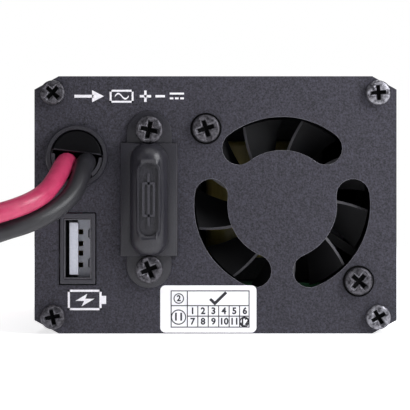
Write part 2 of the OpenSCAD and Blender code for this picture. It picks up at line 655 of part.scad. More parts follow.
// ---------- battery clamps ----------
// Drawn with the pivot at the origin, the nose along +X and the pivot's axis along +Z.
strip = 1.1;            // thickness of a clamp's metal
side_t = 0.9;           // thickness of its side plates
fixed_half_w = 3.8;
moving_half_w = 4.9;
slope = 0.287;          // of the handles, away from the clamp's middle line
back = -handle_l - 2.6; // end of the grips
function handle_v(u) = 9.6 - slope * (u + 11);
wire_below = strip + 1.04 * lead_r;
spine = [[nose_l, 1.4], [nose_l - 2, 3.9], [nose_l - 9, 6.4], [10, 7.8], [-2, 7.8], [-11, 9.6],
    [-handle_l, handle_v(-handle_l)]];
function lowered(p, d) = [for (q = p) [q[0], q[1] - d]];
function backwards(p) = [for (k = [len(p) - 1:-1:0]) p[k]];
module half(half_w, hole_r) {
    linear_extrude(2 * half_w, center = true) polygon(concat(spine, backwards(lowered(spine, strip))));
    for (s = [-1, 1]) translate([0, 0, s * (half_w - side_t / 2)]) linear_extrude(side_t, center = true)
        difference() {
        polygon(concat([for (k = [0:5]) spine[k] - [0, 0.3]], [[-11, 6.2], [-5.6, 1.6]],
            arc(3.3, 180 + 22, 360 - 22, 6), [[4.6, 2.4], [12, 2.4]],
            [for (k = [0:5], t = [0, 1]) [12.5 + (nose_l - 13.5) * (k + 0.5 * t) / 6, 0.25 + 1.3 * t]],
            [[nose_l - 0.6, 0.25]]));
        circle(hole_r);
    }
}
module grip(half_w, wired) {
    difference() {
        linear_extrude(grip_w, center = true) polygon([[-12.5, 11.2], [back + 1, 11.2 - slope * (back + 13.5)],
            [back, 10.2 - slope * (back + 12.5)], [back, 6 - 0.22 * (back + 12.5)],
            [back + 1, 4.6 - 0.22 * (back + 13.5)], [-12.5, 4.6]]);
        linear_extrude(2 * half_w + 0.1, center = true) polygon([[-12, handle_v(-12) + 0.05],
            [-handle_l - 0.1, handle_v(-handle_l) + 0.1], [-handle_l - 0.1, handle_v(-handle_l) - strip],
            [-12, handle_v(-12) - strip]]);
        if (wired) translate([back - 1, handle_v(back - 1) - wire_below, 0]) rotate([0, 90, -atan(slope)])
            cylinder(r = lead_r + 0.05, h = 16.5);
    }
}
module clamp_pin() {
    cylinder(r = pin_r, h = 2 * moving_half_w + 0.6, center = true);
    for (s = [-1, 1]) translate([0, 0, s * (moving_half_w + 0.3)])
        cylinder(r = pin_r + 0.9, h = 0.5, center = true);
}
module clamp_spring() {
    difference() {
        cylinder(r = 2.7, h = 5.6, center = true);
        cylinder(r = pin_r + 0.15, h = 8, center = true);
    }
    for (s = [-1, 1]) translate([0, s * 2.2, s * 2.3]) rotate(180 - s * 26) rotate([0, 90, 0])
        cylinder(r = 0.5, h = 13, $fn = 16);
}
// The wired grip's end meets the end of its tail.
module clamp_at(entry) {
    translate([gland_x + entry[0] - handle_v(back) + wire_below, front_y + entry[1] - back, grip_w / 2])
        rotate(90) children();
}
module red_clamp() { clamp_at([-32.5, 84.4]) children(); }
module black_clamp() { clamp_at([-71, 84.4]) children(); }
module fixed_jaw() { color("#c98a5a") mirror([0, 1, 0]) half(fixed_half_w, pin_r); }
module moving_jaw() { color("#c98a5a") half(moving_half_w, pin_r + turn_gap); }
module fixed_grip(hue) { color(hue) mirror([0, 1, 0]) grip(fixed_half_w, true); }
module moving_grip(hue) { color(hue) grip(moving_half_w, false); }
red_hue = "#c8203c";
black_hue = "#2a2a2e";

case_tube();
dc_end_panel();
ac_end_panel();
dc_panel_screws();
ac_panel_screws();
strain_relief_body();
strain_relief_wedge();
usb_surround();
usb_shell();
usb_tongue();
usb_contacts();
usb_board();
fuse_cover();
fuse_cover_screws();
fuse_holder();
blade_fuse();
fuse_blades();
fan_frame();
fan_rotor();
fan_shaft();
fan_magnet();
fan_bearing();
fan_stator();
fan_screws();
inspection_label();
main_board();
transformer_core();
transformer_winding();
input_capacitors();
bulk_capacitor();
transistors();
transistor_clamps();
filter_choke();
control_chips();
dc_input_wires();
ac_output_wires();
outlet_body();
outlet_contacts();
switch_housing();
switch_rocker();
switch_terminals();
power_lamp();
red_lead();
black_lead();
lead_coil();
coil_tie();
red_tail();
black_tail();
red_clamp() fixed_jaw();  // red_clamp_fixed_jaw
red_clamp() moving_jaw();  // red_clamp_moving_jaw
red_clamp() fixed_grip(red_hue);  // red_clamp_fixed_grip
red_clamp() moving_grip(red_hue);  // red_clamp_moving_grip
red_clamp() clamp_pin();  // red_clamp_pin
red_clamp() clamp_spring();  // red_clamp_spring
black_clamp() fixed_jaw();  // black_clamp_fixed_jaw
black_clamp() moving_jaw();  // black_clamp_moving_jaw
black_clamp() fixed_grip(black_hue);  // black_clamp_fixed_grip
black_clamp() moving_grip(black_hue);  // black_clamp_moving_grip
black_clamp() clamp_pin();  // black_clamp_pin
black_clamp() clamp_spring();  // black_clamp_spring
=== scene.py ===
# %% [markdown]
# # A small power inverter with battery leads
# The inverter turns 12 V from a car battery into mains voltage. Its case is an aluminium extrusion with a
# steel panel screwed to each end. The DC panel holds the fan, the USB outlet, the fuse and the strain
# relief that the two battery leads come out of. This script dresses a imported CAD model: some CAD pieces
# stay and get a better surface, and others are replaced by finer pieces that are modelled here. Everything
# is in metres, in the CAD model's frame.

# %% Load the CAD model and note its size
import bpy
import math
from mathutils import Matrix, Vector


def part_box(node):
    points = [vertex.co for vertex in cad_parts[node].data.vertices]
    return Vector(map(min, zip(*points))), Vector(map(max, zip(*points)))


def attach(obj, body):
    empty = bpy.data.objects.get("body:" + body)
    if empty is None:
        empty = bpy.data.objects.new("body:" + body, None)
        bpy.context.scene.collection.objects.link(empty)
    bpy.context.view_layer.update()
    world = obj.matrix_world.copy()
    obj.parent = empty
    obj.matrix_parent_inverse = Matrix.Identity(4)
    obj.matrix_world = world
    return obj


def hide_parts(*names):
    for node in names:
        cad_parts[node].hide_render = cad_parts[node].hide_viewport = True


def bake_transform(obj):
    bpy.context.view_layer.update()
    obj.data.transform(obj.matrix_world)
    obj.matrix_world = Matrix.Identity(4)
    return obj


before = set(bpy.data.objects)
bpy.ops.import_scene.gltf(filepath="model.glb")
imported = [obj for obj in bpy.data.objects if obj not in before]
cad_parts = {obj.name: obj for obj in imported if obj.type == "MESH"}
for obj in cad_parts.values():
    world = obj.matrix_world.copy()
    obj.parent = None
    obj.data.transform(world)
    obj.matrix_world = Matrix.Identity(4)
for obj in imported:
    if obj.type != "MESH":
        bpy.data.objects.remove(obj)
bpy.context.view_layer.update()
bpy.ops.object.select_all(action="DESELECT")
mm = 0.001

# %% [markdown]
# ## Places that the pieces share
# Each place is read from a CAD node's box, so a change of the CAD model moves the piece with it. The face
# of the DC panel is the plane that most pieces stand on. X runs to the right, Y runs from the DC end to the
# AC end, Z is up.

# %% Read the shared places
def middle(node):
    """The centre of a CAD node's box."""
    low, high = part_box(node)
    return (Vector(low) + Vector(high)) / 2


def linked(name, data):
    """A new object in the scene that shows this data."""
    piece = bpy.data.objects.new(name, data)
    bpy.context.collection.objects.link(piece)
    return piece


FACE_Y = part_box("dc_end_panel")[0][1]
BACK_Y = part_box("ac_end_panel")[1][1]
gland = middle("strain_relief_body")
usb = middle("usb_surround")
fuse = middle("fuse_cover")
fan = middle("fan_frame")
label = middle("inspection_label")
print("DC face at y =", round(FACE_Y, 4), "AC face at y =", round(BACK_Y, 4))

# %% [markdown]
# ## The camera and the light
# A long lens from a little way off keeps the front of a small product square. The camera stands half a
# metre from the DC panel, level with its middle.

# %% Place the camera
camera_data = bpy.data.cameras.new("camera")
camera = linked("camera", camera_data)
camera.location = (-2.2 * mm, FACE_Y - 0.5, 26.97 * mm)
camera.rotation_euler = (math.radians(90), 0, 0)
camera_data.lens = 209.2
camera_data.sensor_width = 36
camera_data.clip_start = 0.01
camera_data.clip_end = 20
bpy.context.scene.camera = camera
print("camera lens:", camera_data.lens, "mm")

# %% [markdown]
# ## The battery leads
# Each lead is a stranded copper wire with 4 mm of soft PVC round it and about 0.6 m long. It bends easily,
# so it leaves the strain relief, turns down and lies on the floor. The length that isn't needed is wound
# into a flat coil of three turns, and each lead ends inside a grip of its battery clamp. A curve with a
# round bevel is the natural way to make a wire: the points set its route, and it stays exactly 4 mm thick.

# %% Routes outside the coil, as the CAD model has them
TUBE_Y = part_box("case_tube")[0][1]
LEAD_R = 2 * mm
red_start = [(-2.05, 3, 35.9), (-2.05, -3, 35.9), (-2.05, -6, 35.8), (-2.4, -9.5, 35.1), (-3, -13.3, 33.5),
             (-4, -16.8, 31.5), (-5.6, -20, 29.4), (-7.8, -22.8, 27.8), (-11, -25, 26.4),
             (-15, -26.6, 25.1), (-20, -27.2, 23.3), (-25.7, -26.2, 20.8), (-31.4, -22.9, 17.4),
             (-36.4, -17.6, 13.4), (-40, -11, 9.4), (-42.4, -3.8, 6), (-43.6, 3.8, 3.6), (-44, 11.4, 2.3),
             (-44, 19, 2), (-44, 27, 2)]
black_start = [(2.05, 3, 35.9), (2.05, -3, 35.9), (2.05, -6, 35.7), (1.8, -9.3, 34.7), (1.2, -12.5, 32.5),
               (0.1, -15.3, 29.8), (-2, -17.9, 27.2), (-4.9, -20.2, 25.1), (-8.8, -22.2, 23.3),
               (-13.4, -23.6, 21.8), (-18.6, -24, 19.9), (-24, -23, 17.3), (-29.2, -20.2, 14.2),
               (-33.4, -15.6, 10.6), (-36.6, -9.6, 7.2), (-38.6, -3, 4.5), (-39.5, 4, 2.7),
               (-39.8, 11.4, 2), (-39.8, 19, 2), (-39.8, 27, 2)]
red_end = [(-37.8, 42, 5.2), (-37.6, 49, 4.2), (-36.8, 56, 3.3), (-35.2, 63, 3.1), (-33.5, 70, 3.8),
           (-32.4, 77.2, 5), (-32.5, 84.4, 5.8), (-33.9, 89.3, 5.8), (-36.7, 99, 5.8)]
black_end = [(-41.9, 42, 5.9), (-42.2, 49, 5.1), (-43.7, 56, 3.9), (-47.2, 62.2, 3.1), (-52.4, 66.6, 2.9),
             (-58.6, 69.4, 3.4), (-64.2, 72.8, 4.3), (-68.4, 77.9, 5.3), (-71, 84.4, 5.8),
             (-72.4, 89.3, 5.8), (-75.2, 99, 5.8)]
print("points outside the coil:", len(red_start + red_end), "red,", len(black_start + black_end), "black")

# %% Points of the coil, turn by turn
# Each stop gives how many turns have been wound, the pair's middle radius and its lift above the floor layer.
STOPS = [(0, 27.1, 0), (0.78, 27.1, 0), (0.98, 18.95, 0), (1.66, 18.95, 0), (1.84, 18.95, 3.9),
         (2.0, 20.8, 3.9), (2.3, 25.1, 3.55), (2.8, 25.1, 3.55), (2.9, 27.1, 4), (3.0, 29.2, 3.7)]
CROSSING = (1.14, 1.52)     # between these turns the red lead crosses over the black one
COIL = (-69, 31, 2.15)      # the coil's middle, at the height of its lowest layer
HALF_PITCH = 2.06           # half the distance between the two leads' axes
STEPS = 20                  # points for each turn


def eased(t):
    """0 to 1 with a soft start and end."""
    t = min(1, max(0, t))
    return t * t * (3 - 2 * t)


def coil_point(turn, red):
    """The place of one lead after that many turns, in the units of the routes above."""
    for (t0, r0, z0), (t1, r1, z1) in zip(STOPS, STOPS[1:]):
        if turn <= t1:
            share = eased((turn - t0) / (t1 - t0))
            radius, lift = r0 + (r1 - r0) * share, z0 + (z1 - z0) * share
            break
    roll = math.pi * eased((turn - CROSSING[0]) / (CROSSING[1] - CROSSING[0]))
    side = -1 if red else 1
    radius += side * HALF_PITCH * math.cos(roll)
    lift += HALF_PITCH * math.sin(roll) * (1 - side)
    angle = 2 * math.pi * turn
    return (COIL[0] + radius * math.cos(angle), COIL[1] + radius * math.sin(angle), COIL[2] + lift)


def route(start, end, red):
    """A whole lead in metres: from the strain relief, round the coil, to its clamp."""
    turns = [coil_point(k / STEPS, red) for k in range(3 * STEPS + 1)]
    return [Vector((gland.x + x * mm, TUBE_Y + y * mm, z * mm)) for x, y, z in start[:-1] + turns + end]


print("coil points for each lead:", 3 * STEPS + 1)

# %% Make the two leads as bevelled curves
def wire(name, points, radius):
    """A round wire through the points, on one smooth open curve."""
    data = bpy.data.curves.new(name, "CURVE")
    data.dimensions = "3D"
    data.resolution_u = 6
    data.bevel_depth = radius
    data.bevel_resolution = 5
    data.use_fill_caps = True
    spline = data.splines.new("BEZIER")
    spline.bezier_points.add(len(points) - 1)
    for point, spot in zip(spline.bezier_points, points):
        point.co = spot
        point.handle_left_type = point.handle_right_type = "AUTO"
    return linked(name, data)


def length_of(points):
    """The length along the points, in metres."""
    return sum((b - a).length for a, b in zip(points, points[1:]))


red_points = route(red_start, red_end, True)
black_points = route(black_start, black_end, False)
red_wire = wire("red_battery_lead", red_points, LEAD_R)
black_wire = wire("black_battery_lead", black_points, LEAD_R)
print("lead lengths in m:", round(length_of(red_points), 3), round(length_of(black_points), 3))

# %% [markdown]
# ## Small helpers for modelling
# Every piece below is modelled lying on its back round the origin, in millimetres of its own, and is stood
# up on its panel at the end. These helpers wrap what a modeller does by hand: deselect, add a shape, pick
# faces, add a modifier and apply it, and put the finished piece in its place.

# %% Helpers: selection and modifiers
def deselect():
    """Leaves edit mode, and leaves nothing selected."""
    if bpy.context.mode != "OBJECT":
        bpy.ops.object.mode_set(mode="OBJECT")
    bpy.ops.object.select_all(action="DESELECT")


def activate(piece):
    """Makes this the one selected and active object."""
    deselect()
    piece.select_set(True)
    bpy.context.view_layer.objects.active = piece


def edit(piece, kind="FACE", test=None):
    """Enters edit mode with all selected, or what passes the test of its place in mm and its normal."""
    activate(piece)
    bpy.ops.object.mode_set(mode="EDIT")
    bpy.ops.mesh.select_mode(type=kind)
    bpy.ops.mesh.select_all(action="DESELECT" if test else "SELECT")
    if test:
        bpy.ops.object.mode_set(mode="OBJECT")
        if kind == "FACE":
            for face in piece.data.polygons:
                face.select = test(face.center / mm, face.normal)
        else:
            for vertex in piece.data.vertices:
                vertex.select = test(vertex.co / mm, vertex.normal)
        bpy.ops.object.mode_set(mode="EDIT")


def modify(piece, kind, **settings):
    """Adds a modifier with its settings and applies it."""
    activate(piece)
    modifier = piece.modifiers.new(kind.lower(), kind)
    for key, value in settings.items():
        setattr(modifier, key, value)
    bpy.ops.object.modifier_apply(modifier=modifier.name)


def smooth(piece, angle):
    """Shades the piece smooth, except over edges sharper than the angle in degrees."""
    activate(piece)
    bpy.ops.object.shade_smooth_by_angle(angle=math.radians(angle))


def soften(piece, width, segments=2, angle=30):
    """Rounds the edges sharper than an angle, as moulding or paint does, and shades the piece smooth.
    Weighted normals keep the large flat faces flat, so that only the narrow bevels curve the light."""
    modify(piece, "BEVEL", width=width * mm, segments=segments, limit_method="ANGLE",
           angle_limit=math.radians(angle))
    smooth(piece, 35)
    modify(piece, "WEIGHTED_NORMAL", keep_sharp=True)


def up(_, normal):
    """Picks the faces that look up."""
    return normal.z > 0.9


def down(_, normal):
    """Picks the faces that look down."""
    return normal.z < -0.9


def inset(piece, test, *steps):
    """Insets the faces that pass the test, once for each thickness and depth in mm."""
    edit(piece, "FACE", test)
    for thickness, depth in steps:
        bpy.ops.mesh.inset(thickness=thickness * mm, depth=depth * mm)
    deselect()


def taper(piece, test, x, y):
    """Scales the faces that pass the test, or all faces without one, about their own middle."""
    edit(piece, "FACE", test)
    bpy.ops.transform.resize(value=(x, y, 1))
    deselect()


def shift(piece, test, x=0, y=0):
    """Moves the vertices that pass the test by so many mm."""
    edit(piece, "VERT", test)
    bpy.ops.transform.translate(value=(x * mm, y * mm, 0))
    deselect()


# %% Helpers: shapes
def keep(name):
    """Names the shape that was just added, and returns it."""
    piece = bpy.context.object
    piece.name = piece.data.name = name
    return piece


def block(name, size, at=(0, 0, 0)):
    """A box of that size in mm, with its centre there."""
    deselect()
    bpy.ops.mesh.primitive_cube_add(size=1, location=[v * mm for v in at])
    bpy.ops.transform.resize(value=[v * mm for v in size])
    bpy.ops.object.transform_apply(location=True, rotation=True, scale=True)
    return keep(name)


def disc(name, radius, height, at=(0, 0, 0), sides=48):
    """A cylinder along Z, in mm, with its centre there."""
    deselect()
    bpy.ops.mesh.primitive_cylinder_add(vertices=sides, radius=radius * mm, depth=height * mm,
                                        location=[v * mm for v in at])
    bpy.ops.object.transform_apply(location=True, rotation=True, scale=True)
    return keep(name)


def outline(name, points, height, base=0):
    """A flat outline in mm, filled and extruded straight up."""
    deselect()
    mesh = bpy.data.meshes.new(name)
    mesh.from_pydata([(x * mm, y * mm, base * mm) for x, y in points], [], [list(range(len(points)))])
    piece = linked(name, mesh)
    edit(piece)
    bpy.ops.mesh.extrude_region_move(TRANSFORM_OT_translate={"value": (0, 0, height * mm)})
    bpy.ops.mesh.select_all(action="SELECT")
    bpy.ops.mesh.normals_make_consistent(inside=False)
    deselect()
    return piece


def arc(radius, start, end, steps, centre=(0, 0)):
    """Points of an arc, in mm and degrees."""
    angles = [math.radians(start + (end - start) * k / steps) for k in range(steps + 1)]
    return [(centre[0] + radius * math.cos(a), centre[1] + radius * math.sin(a)) for a in angles]


def rounded(width, height, radius, steps):
    """Points of a rounded rectangle round the origin."""
    x, y = width / 2 - radius, height / 2 - radius
    points = []
    for k, corner in enumerate(((x, y), (-x, y), (-x, -y), (x, -y))):
        points += arc(radius, 90 * k, 90 * k + 90, steps, corner)
    return points


def combine(piece, other, how="UNION"):
    """Joins the piece with another one, or cuts it, and the other one is used up."""
    modify(piece, "BOOLEAN", object=other, operation=how, solver="EXACT")
    bpy.data.objects.remove(other, do_unlink=True)


def cut(piece, *others):
    """Cuts other pieces out of the piece."""
    for other in others:
        combine(piece, other, "DIFFERENCE")


def join(name, pieces):
    """Puts several loose shapes into one piece."""
    activate(pieces[0])
    for other in pieces[1:]:
        other.select_set(True)
    bpy.ops.object.join()
    return keep(name)


def twin(piece, name):
    """A copy of the piece with a mesh of its own."""
    other = piece.copy()
    other.data = piece.data.copy()
    other.name = other.data.name = name
    bpy.context.collection.objects.link(other)
    return other


# %% Helpers: placing a piece, and refining a CAD one
def place(piece, at=(0, 0, 0), turn=(0, 0, 0)):
    """Turns the piece (degrees) about the origin, moves it there (metres), and puts that in its mesh."""
    activate(piece)
    piece.rotation_euler = [math.radians(a) for a in turn]
    piece.location = at
    bpy.ops.object.transform_apply(location=True, rotation=True, scale=True)
    return piece


def on_dc_panel(piece, x, z, spin=0):
    """Stands the piece on the DC panel's face, at that place in metres."""
    place(piece, turn=(0, 0, spin))
    return place(piece, (x, FACE_Y, z), (90, 0, 0))


def on_ac_panel(piece, x, z, spin=0):
    """Stands the piece on the AC panel's face."""
    place(piece, turn=(0, 0, spin))
    return place(piece, (x, BACK_Y, z), (90, 0, 180))


def dress(piece, surface, slot, *nodes, body="inverter"):
    """Gives the piece its first material, makes it ride on a body, and lets it stand for CAD nodes."""
    if piece.data.materials:
        piece.data.materials[0] = surface
    else:
        piece.data.materials.append(surface)
    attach(piece, body)
    if nodes:
        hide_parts(*nodes)


def refined(node, name, width, segments=2):
    """A copy of a CAD node with its triangles merged into flat faces, and its edges softly rounded."""
    piece = twin(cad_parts[node], name)
    piece.parent = None
    piece.matrix_world = Matrix()
    for key in list(piece.keys()):
        del piece[key]
    piece.data.materials.clear()
    edit(piece)
    bpy.ops.mesh.remove_doubles(threshold=0.004 * mm)
    bpy.ops.mesh.dissolve_limited(angle_limit=math.radians(0.5), delimit={"NORMAL"})
    deselect()
    soften(piece, width, segments)
    return piece


print("helpers ready")

# %% [markdown]
# ## Colours and materials
# A material is a small graph of nodes. Most finishes here are dark and nearly matt, so what tells them
# apart is their grain: powder coat has a fine orange-peel bump, moulded nylon is smoother, PVC has a soft
# sheen, and worn steel shows bright patches where the plating has rubbed away. Patterns read Object
# coordinates, which are real metres, so a scale of 1000 makes features about one millimetre across.

# %% Helpers for materials
def linear(code):
    """An sRGB hex colour as linear red, green, blue and alpha."""
    parts = [int(code[i:i + 2], 16) / 255 for i in (1, 3, 5)]
    return [c / 12.92 if c <= 0.04045 else ((c + 0.055) / 1.055) ** 2.4 for c in parts] + [1]


def add(tree, kind, settings=None, links=None):
    """Adds a node, sets its properties and sockets, and links its inputs from other nodes' outputs."""
    node = tree.nodes.new("ShaderNode" + kind)
    for key, value in (settings or {}).items():
        if isinstance(key, str) and hasattr(node, key):
            setattr(node, key, value)
        else:
            node.inputs[key].default_value = value
    for key, (source, output) in (links or {}).items():
        tree.links.new(source.outputs[output], node.inputs[key])
    return node


def material(name, colour, roughness, **sockets):
    """A plain material. Returns it with its node tree, to add patterns to, and its shader."""
    made = bpy.data.materials.new(name)
    made.use_nodes = True
    tree = made.node_tree
    tree.nodes.clear()
    shader = add(tree, "BsdfPrincipled", {"Base Color": linear(colour), "Roughness": roughness})
    for key, value in sockets.items():
        shader.inputs[key.replace("_", " ")].default_value = value
    add(tree, "OutputMaterial", links={"Surface": (shader, "BSDF")})
    return made, tree, shader


def finish(name, colour, roughness, size, strength, dark, light, detail=3, rough=None,
           stretch=(1, 1, 1), **sockets):
    """A material with a fine irregular grain of that size in mm. The grain takes the colour from dark to
    light, the roughness over the range in rough, and the surface up and down."""
    made, tree, shader = material(name, colour, roughness, **sockets)
    place_of = add(tree, "TexCoord")
    scaled = add(tree, "Mapping", {"Scale": stretch}, {"Vector": (place_of, "Object")})
    noise = add(tree, "TexNoise", {"Scale": 1000 / size, "Detail": detail, "Roughness": 0.6},
                {"Vector": (scaled, "Vector")})
    ramp = add(tree, "ValToRGB", links={"Fac": (noise, "Fac")})
    ramp.color_ramp.elements[0].position, ramp.color_ramp.elements[1].position = 0.3, 0.7
    ramp.color_ramp.elements[0].color, ramp.color_ramp.elements[1].color = linear(dark), linear(light)
    tree.links.new(ramp.outputs["Color"], shader.inputs["Base Color"])
    bump = add(tree, "Bump", {"Strength": strength, "Distance": 0.1 * mm}, {"Height": (noise, "Fac")})
    tree.links.new(bump.outputs["Normal"], shader.inputs["Normal"])
    if rough:
        spread = add(tree, "MapRange", {"To Min": rough[0], "To Max": rough[1]}, {"Value": (noise, "Fac")})
        tree.links.new(spread.outputs["Result"], shader.inputs["Roughness"])
    return made


# %% Painted and bare metals
# Powder coat: sprayed polyester baked on steel. Its fine sandy bump never shows a sharp reflection.
powder_coat = finish("powder_coat_black", "#26252b", 0.66, 0.36, 0.95, "#0e0d12", "#403e4a",
                     rough=(0.5, 0.78), Specular_IOR_Level=0.4)

# On a punched edge the coat is thin, and the steel below shows as a lighter grey.
thin_coat = finish("powder_coat_thin_on_edges", "#76757d", 0.45, 0.6, 0.3, "#4a4951", "#9a99a1")

# Anodised and painted aluminium extrusion: satin black, with faint draw lines along its length.
anodised = finish("anodised_extrusion_black", "#2c2b30", 0.42, 0.5, 0.12, "#27262b", "#323137",
                  stretch=(1, 0.02, 1))

# Zinc-plated steel: bright where it is worn, grey and dull elsewhere.
worn_zinc = finish("zinc_plated_steel_worn", "#8a8890", 0.38, 0.7, 0.3, "#3c3b40", "#a5a4ab",
                   rough=(0.3, 0.55), Metallic=1)

# Black-oxide steel: nearly black, with grey metal showing through where a screwdriver has rubbed it.
black_oxide = finish("black_oxide_steel", "#3a393d", 0.42, 0.6, 0.35, "#232225", "#69676d",
                     rough=(0.3, 0.55), Metallic=0.85)

# Near-black: painted shade deep in a driver's recess, and also the colour of the fan screws' washers.
recess_shade_and_washer_black = finish("painted_recess_shade_and_washer_black", "#050506", 0.8, 0.3, 0.3, "#040405", "#09090b",
                      Specular_IOR_Level=0.1)

# Bright steel and tin: pressed, then plated, with a soft shine.
bright_steel = finish("bright_steel", "#b9b8ba", 0.3, 0.8, 0.08, "#a3a2a4", "#c4c3c5", rough=(0.24, 0.4),
                      Metallic=1)
tin_plate = finish("tin_plated_steel", "#77767a", 0.36, 0.6, 0.1, "#57565b", "#7a797e", rough=(0.3, 0.45),
                   Metallic=1)
spring_steel = finish("spring_steel", "#8f8f95", 0.32, 0.5, 0.1, "#7c7c82", "#a0a0a6", rough=(0.26, 0.42),
                      Metallic=1)

# Brass and copper: the contacts are gold-coloured brass, and the clamps have a thin copper plate over steel.
contact_brass = finish("plated_brass", "#b98f4a", 0.3, 0.5, 0.08, "#a67d3c", "#c79e58", rough=(0.25, 0.4),
                       Metallic=1)
copper_plate = finish("copper_plated_steel", "#c48a60", 0.3, 0.9, 0.03, "#be855f", "#c68d67", detail=2,
                      rough=(0.24, 0.34), Metallic=1)
# Enamelled wire is wound in close turns, so its grain is drawn out along them.
copper_wire = finish("enamelled_copper_wire", "#8f4f2c", 0.35, 0.6, 0.35, "#6d371d", "#a5623a",
                     stretch=(0.2, 1, 1), Metallic=0.7)
# Milled aluminium shows fine tool lines, and ferrite is a fired ceramic, dark and matt.
milled_aluminium = finish("milled_aluminium", "#a9abb0", 0.35, 0.5, 0.15, "#999ba0", "#b6b8bd",
                          stretch=(1, 0.05, 1), Metallic=1)
ferrite = finish("sintered_ferrite", "#2a2a2d", 0.6, 0.4, 0.2, "#222225", "#343438")
print("metals:", sum(1 for m in bpy.data.materials if m.use_nodes))

# %% Plastics
# Moulded nylon and ABS: a faint spark-eroded texture, with a soft sheen along rounded edges.
moulded_nylon = finish("moulded_nylon_black", "#232229", 0.36, 0.35, 0.12, "#1f1e24", "#2d2c33",
                       rough=(0.28, 0.42))
# The wedge is pressed against the leads and smooth, and it lies in shadow, so it is the darkest part.
wedge_nylon = finish("smooth_nylon_black", "#070709", 0.5, 0.5, 0.05, "#050507", "#0a0a0d",
                     Specular_IOR_Level=0.1)
# The fuse cover and the socket's surround come from matt moulds, and the mains outlet from a polished one.
# The surround's grey also makes the strain relief's cheeks show against the black. On the fuse symbol,
# whose marks are the cover's own black, the grey is a painted highlight, and on the wedge's lower edge it
# is a painted reflection of the floor.
cover_plastic = finish("moulded_abs_matt_black", "#232228", 0.4, 0.4, 0.2, "#1d1c22", "#2a2930",
                       rough=(0.29, 0.43))
grey_pbt_and_painted_highlight = finish("moulded_pbt_grey_and_painted_highlight", "#33323a", 0.48, 0.4, 0.1, "#2e2d34", "#39383f")
gloss_abs = finish("moulded_abs_glossy_black", "#151417", 0.2, 1.5, 0.03, "#131215", "#19181b")
# The fan is glass-filled PBT: black, with hardly any shine.
fan_plastic = finish("moulded_pbt_black", "#0c0c0e", 0.5, 0.6, 0.08, "#070709", "#0d0d10",
                     rough=(0.45, 0.6), Specular_IOR_Level=0.25)
# Painted highlight: each blade's sharp leading edge gets a lighter grey, so it is the one part of the fan
# that looks lit.
blade_highlight = finish("painted_blade_edge_highlight", "#4f4e52", 0.4, 0.4, 0.1, "#454448", "#5a595d")
# Liquid-crystal polymer, which a socket's tongue is moulded from, is an even milky white.
white_plastic = finish("moulded_white_lcp", "#dfe1e9", 0.35, 0.5, 0.05, "#bbbec9", "#c8cbd4")
# A blade fuse is clear plastic in the colour of its rating, and light goes some way into it.
orange_plastic = finish("clear_orange_plastic", "#d8701c", 0.15, 1.2, 0.03, "#cc6616", "#e07a24",
                        Transmission_Weight=0.35)
# Parts on the board: chips in matt epoxy, capacitors in glossy shrunk sleeves, and the green mask itself.
epoxy = finish("moulded_epoxy_black", "#18181a", 0.5, 0.3, 0.15, "#151517", "#1e1e21")
blue_sleeve = finish("shrunk_pvc_sleeve_blue", "#1d2740", 0.28, 1.2, 0.05, "#1a233a", "#222d49")
black_sleeve = finish("shrunk_pvc_sleeve_black", "#1c1c20", 0.28, 1.2, 0.05, "#19191d", "#222226")
solder_mask = finish("solder_mask_green", "#174a2b", 0.35, 0.8, 0.12, "#133e24", "#1d5833")
# The lamp's lens is milky inside, so it is the same green all over. The tie is plain black nylon.
green_lens = finish("green_diffusing_lens", "#3fb457", 0.12, 1.0, 0.02, "#38a74f", "#48bf61",
                    Transmission_Weight=0.5)
nylon_tie = finish("nylon_tie_black", "#1b1a1d", 0.4, 0.5, 0.08, "#171619", "#222125")

# %% Soft PVC, tape and paper
# Soft PVC: the insulation of the leads has a satin surface with faint marks from handling.
red_pvc = finish("soft_pvc_red", "#b8304e", 0.36, 2.2, 0.1, "#b22c55", "#c63c66", rough=(0.3, 0.45),
                 Coat_Weight=0.15, Coat_Roughness=0.35)
black_pvc = finish("soft_pvc_black", "#1d1c21", 0.43, 2.2, 0.1, "#17161a", "#212026", rough=(0.38, 0.5),
                   Coat_Weight=0.08, Coat_Roughness=0.4)
# Vinyl that a handle was dipped in sets with a smooth, wet-looking skin.
red_vinyl = finish("dipped_vinyl_red", "#b5122b", 0.3, 1.6, 0.06, "#a81028", "#c01831", rough=(0.26, 0.4))
black_vinyl = finish("dipped_vinyl_black", "#1b1b1e", 0.3, 1.6, 0.06, "#18181b", "#222226",
                     rough=(0.26, 0.4))
# Polyester tape is thin and shiny, with faint upright streaks.
yellow_tape = finish("polyester_tape_yellow", "#b0a15a", 0.3, 1.5, 0.15, "#a3944e", "#bdae68",
                     stretch=(1, 1, 0.2))
# Label paper: white coated paper, slightly cool, and quite smooth.
label_paper = finish("coated_label_paper", "#f6f5f8", 0.45, 0.8, 0.05, "#f1f0f4", "#faf9fc")
# Printing ink on the paper is flat and nearly black.
label_ink = finish("label_ink_black", "#242329", 0.5, 0.3, 0.05, "#1f1e24", "#2d2c33")
# Screen-printing ink: a thin opaque white layer that follows the coat below, so it is matt.
white_ink = finish("screen_print_white", "#eceaf0", 0.5, 0.4, 0.1, "#e2e0e6", "#f4f2f7")
print("materials:", len(bpy.data.materials))

# %% [markdown]
# ## Floor, background and lights
# The inverter stands on wide white paper, in a plain bright room. Softboxes give shape to the black coat: a
# large one overhead, a small one at the right that brightens that side of the panel, a narrow one at the
# left that draws the rims, and one behind for the top of the case and the far side of the leads.

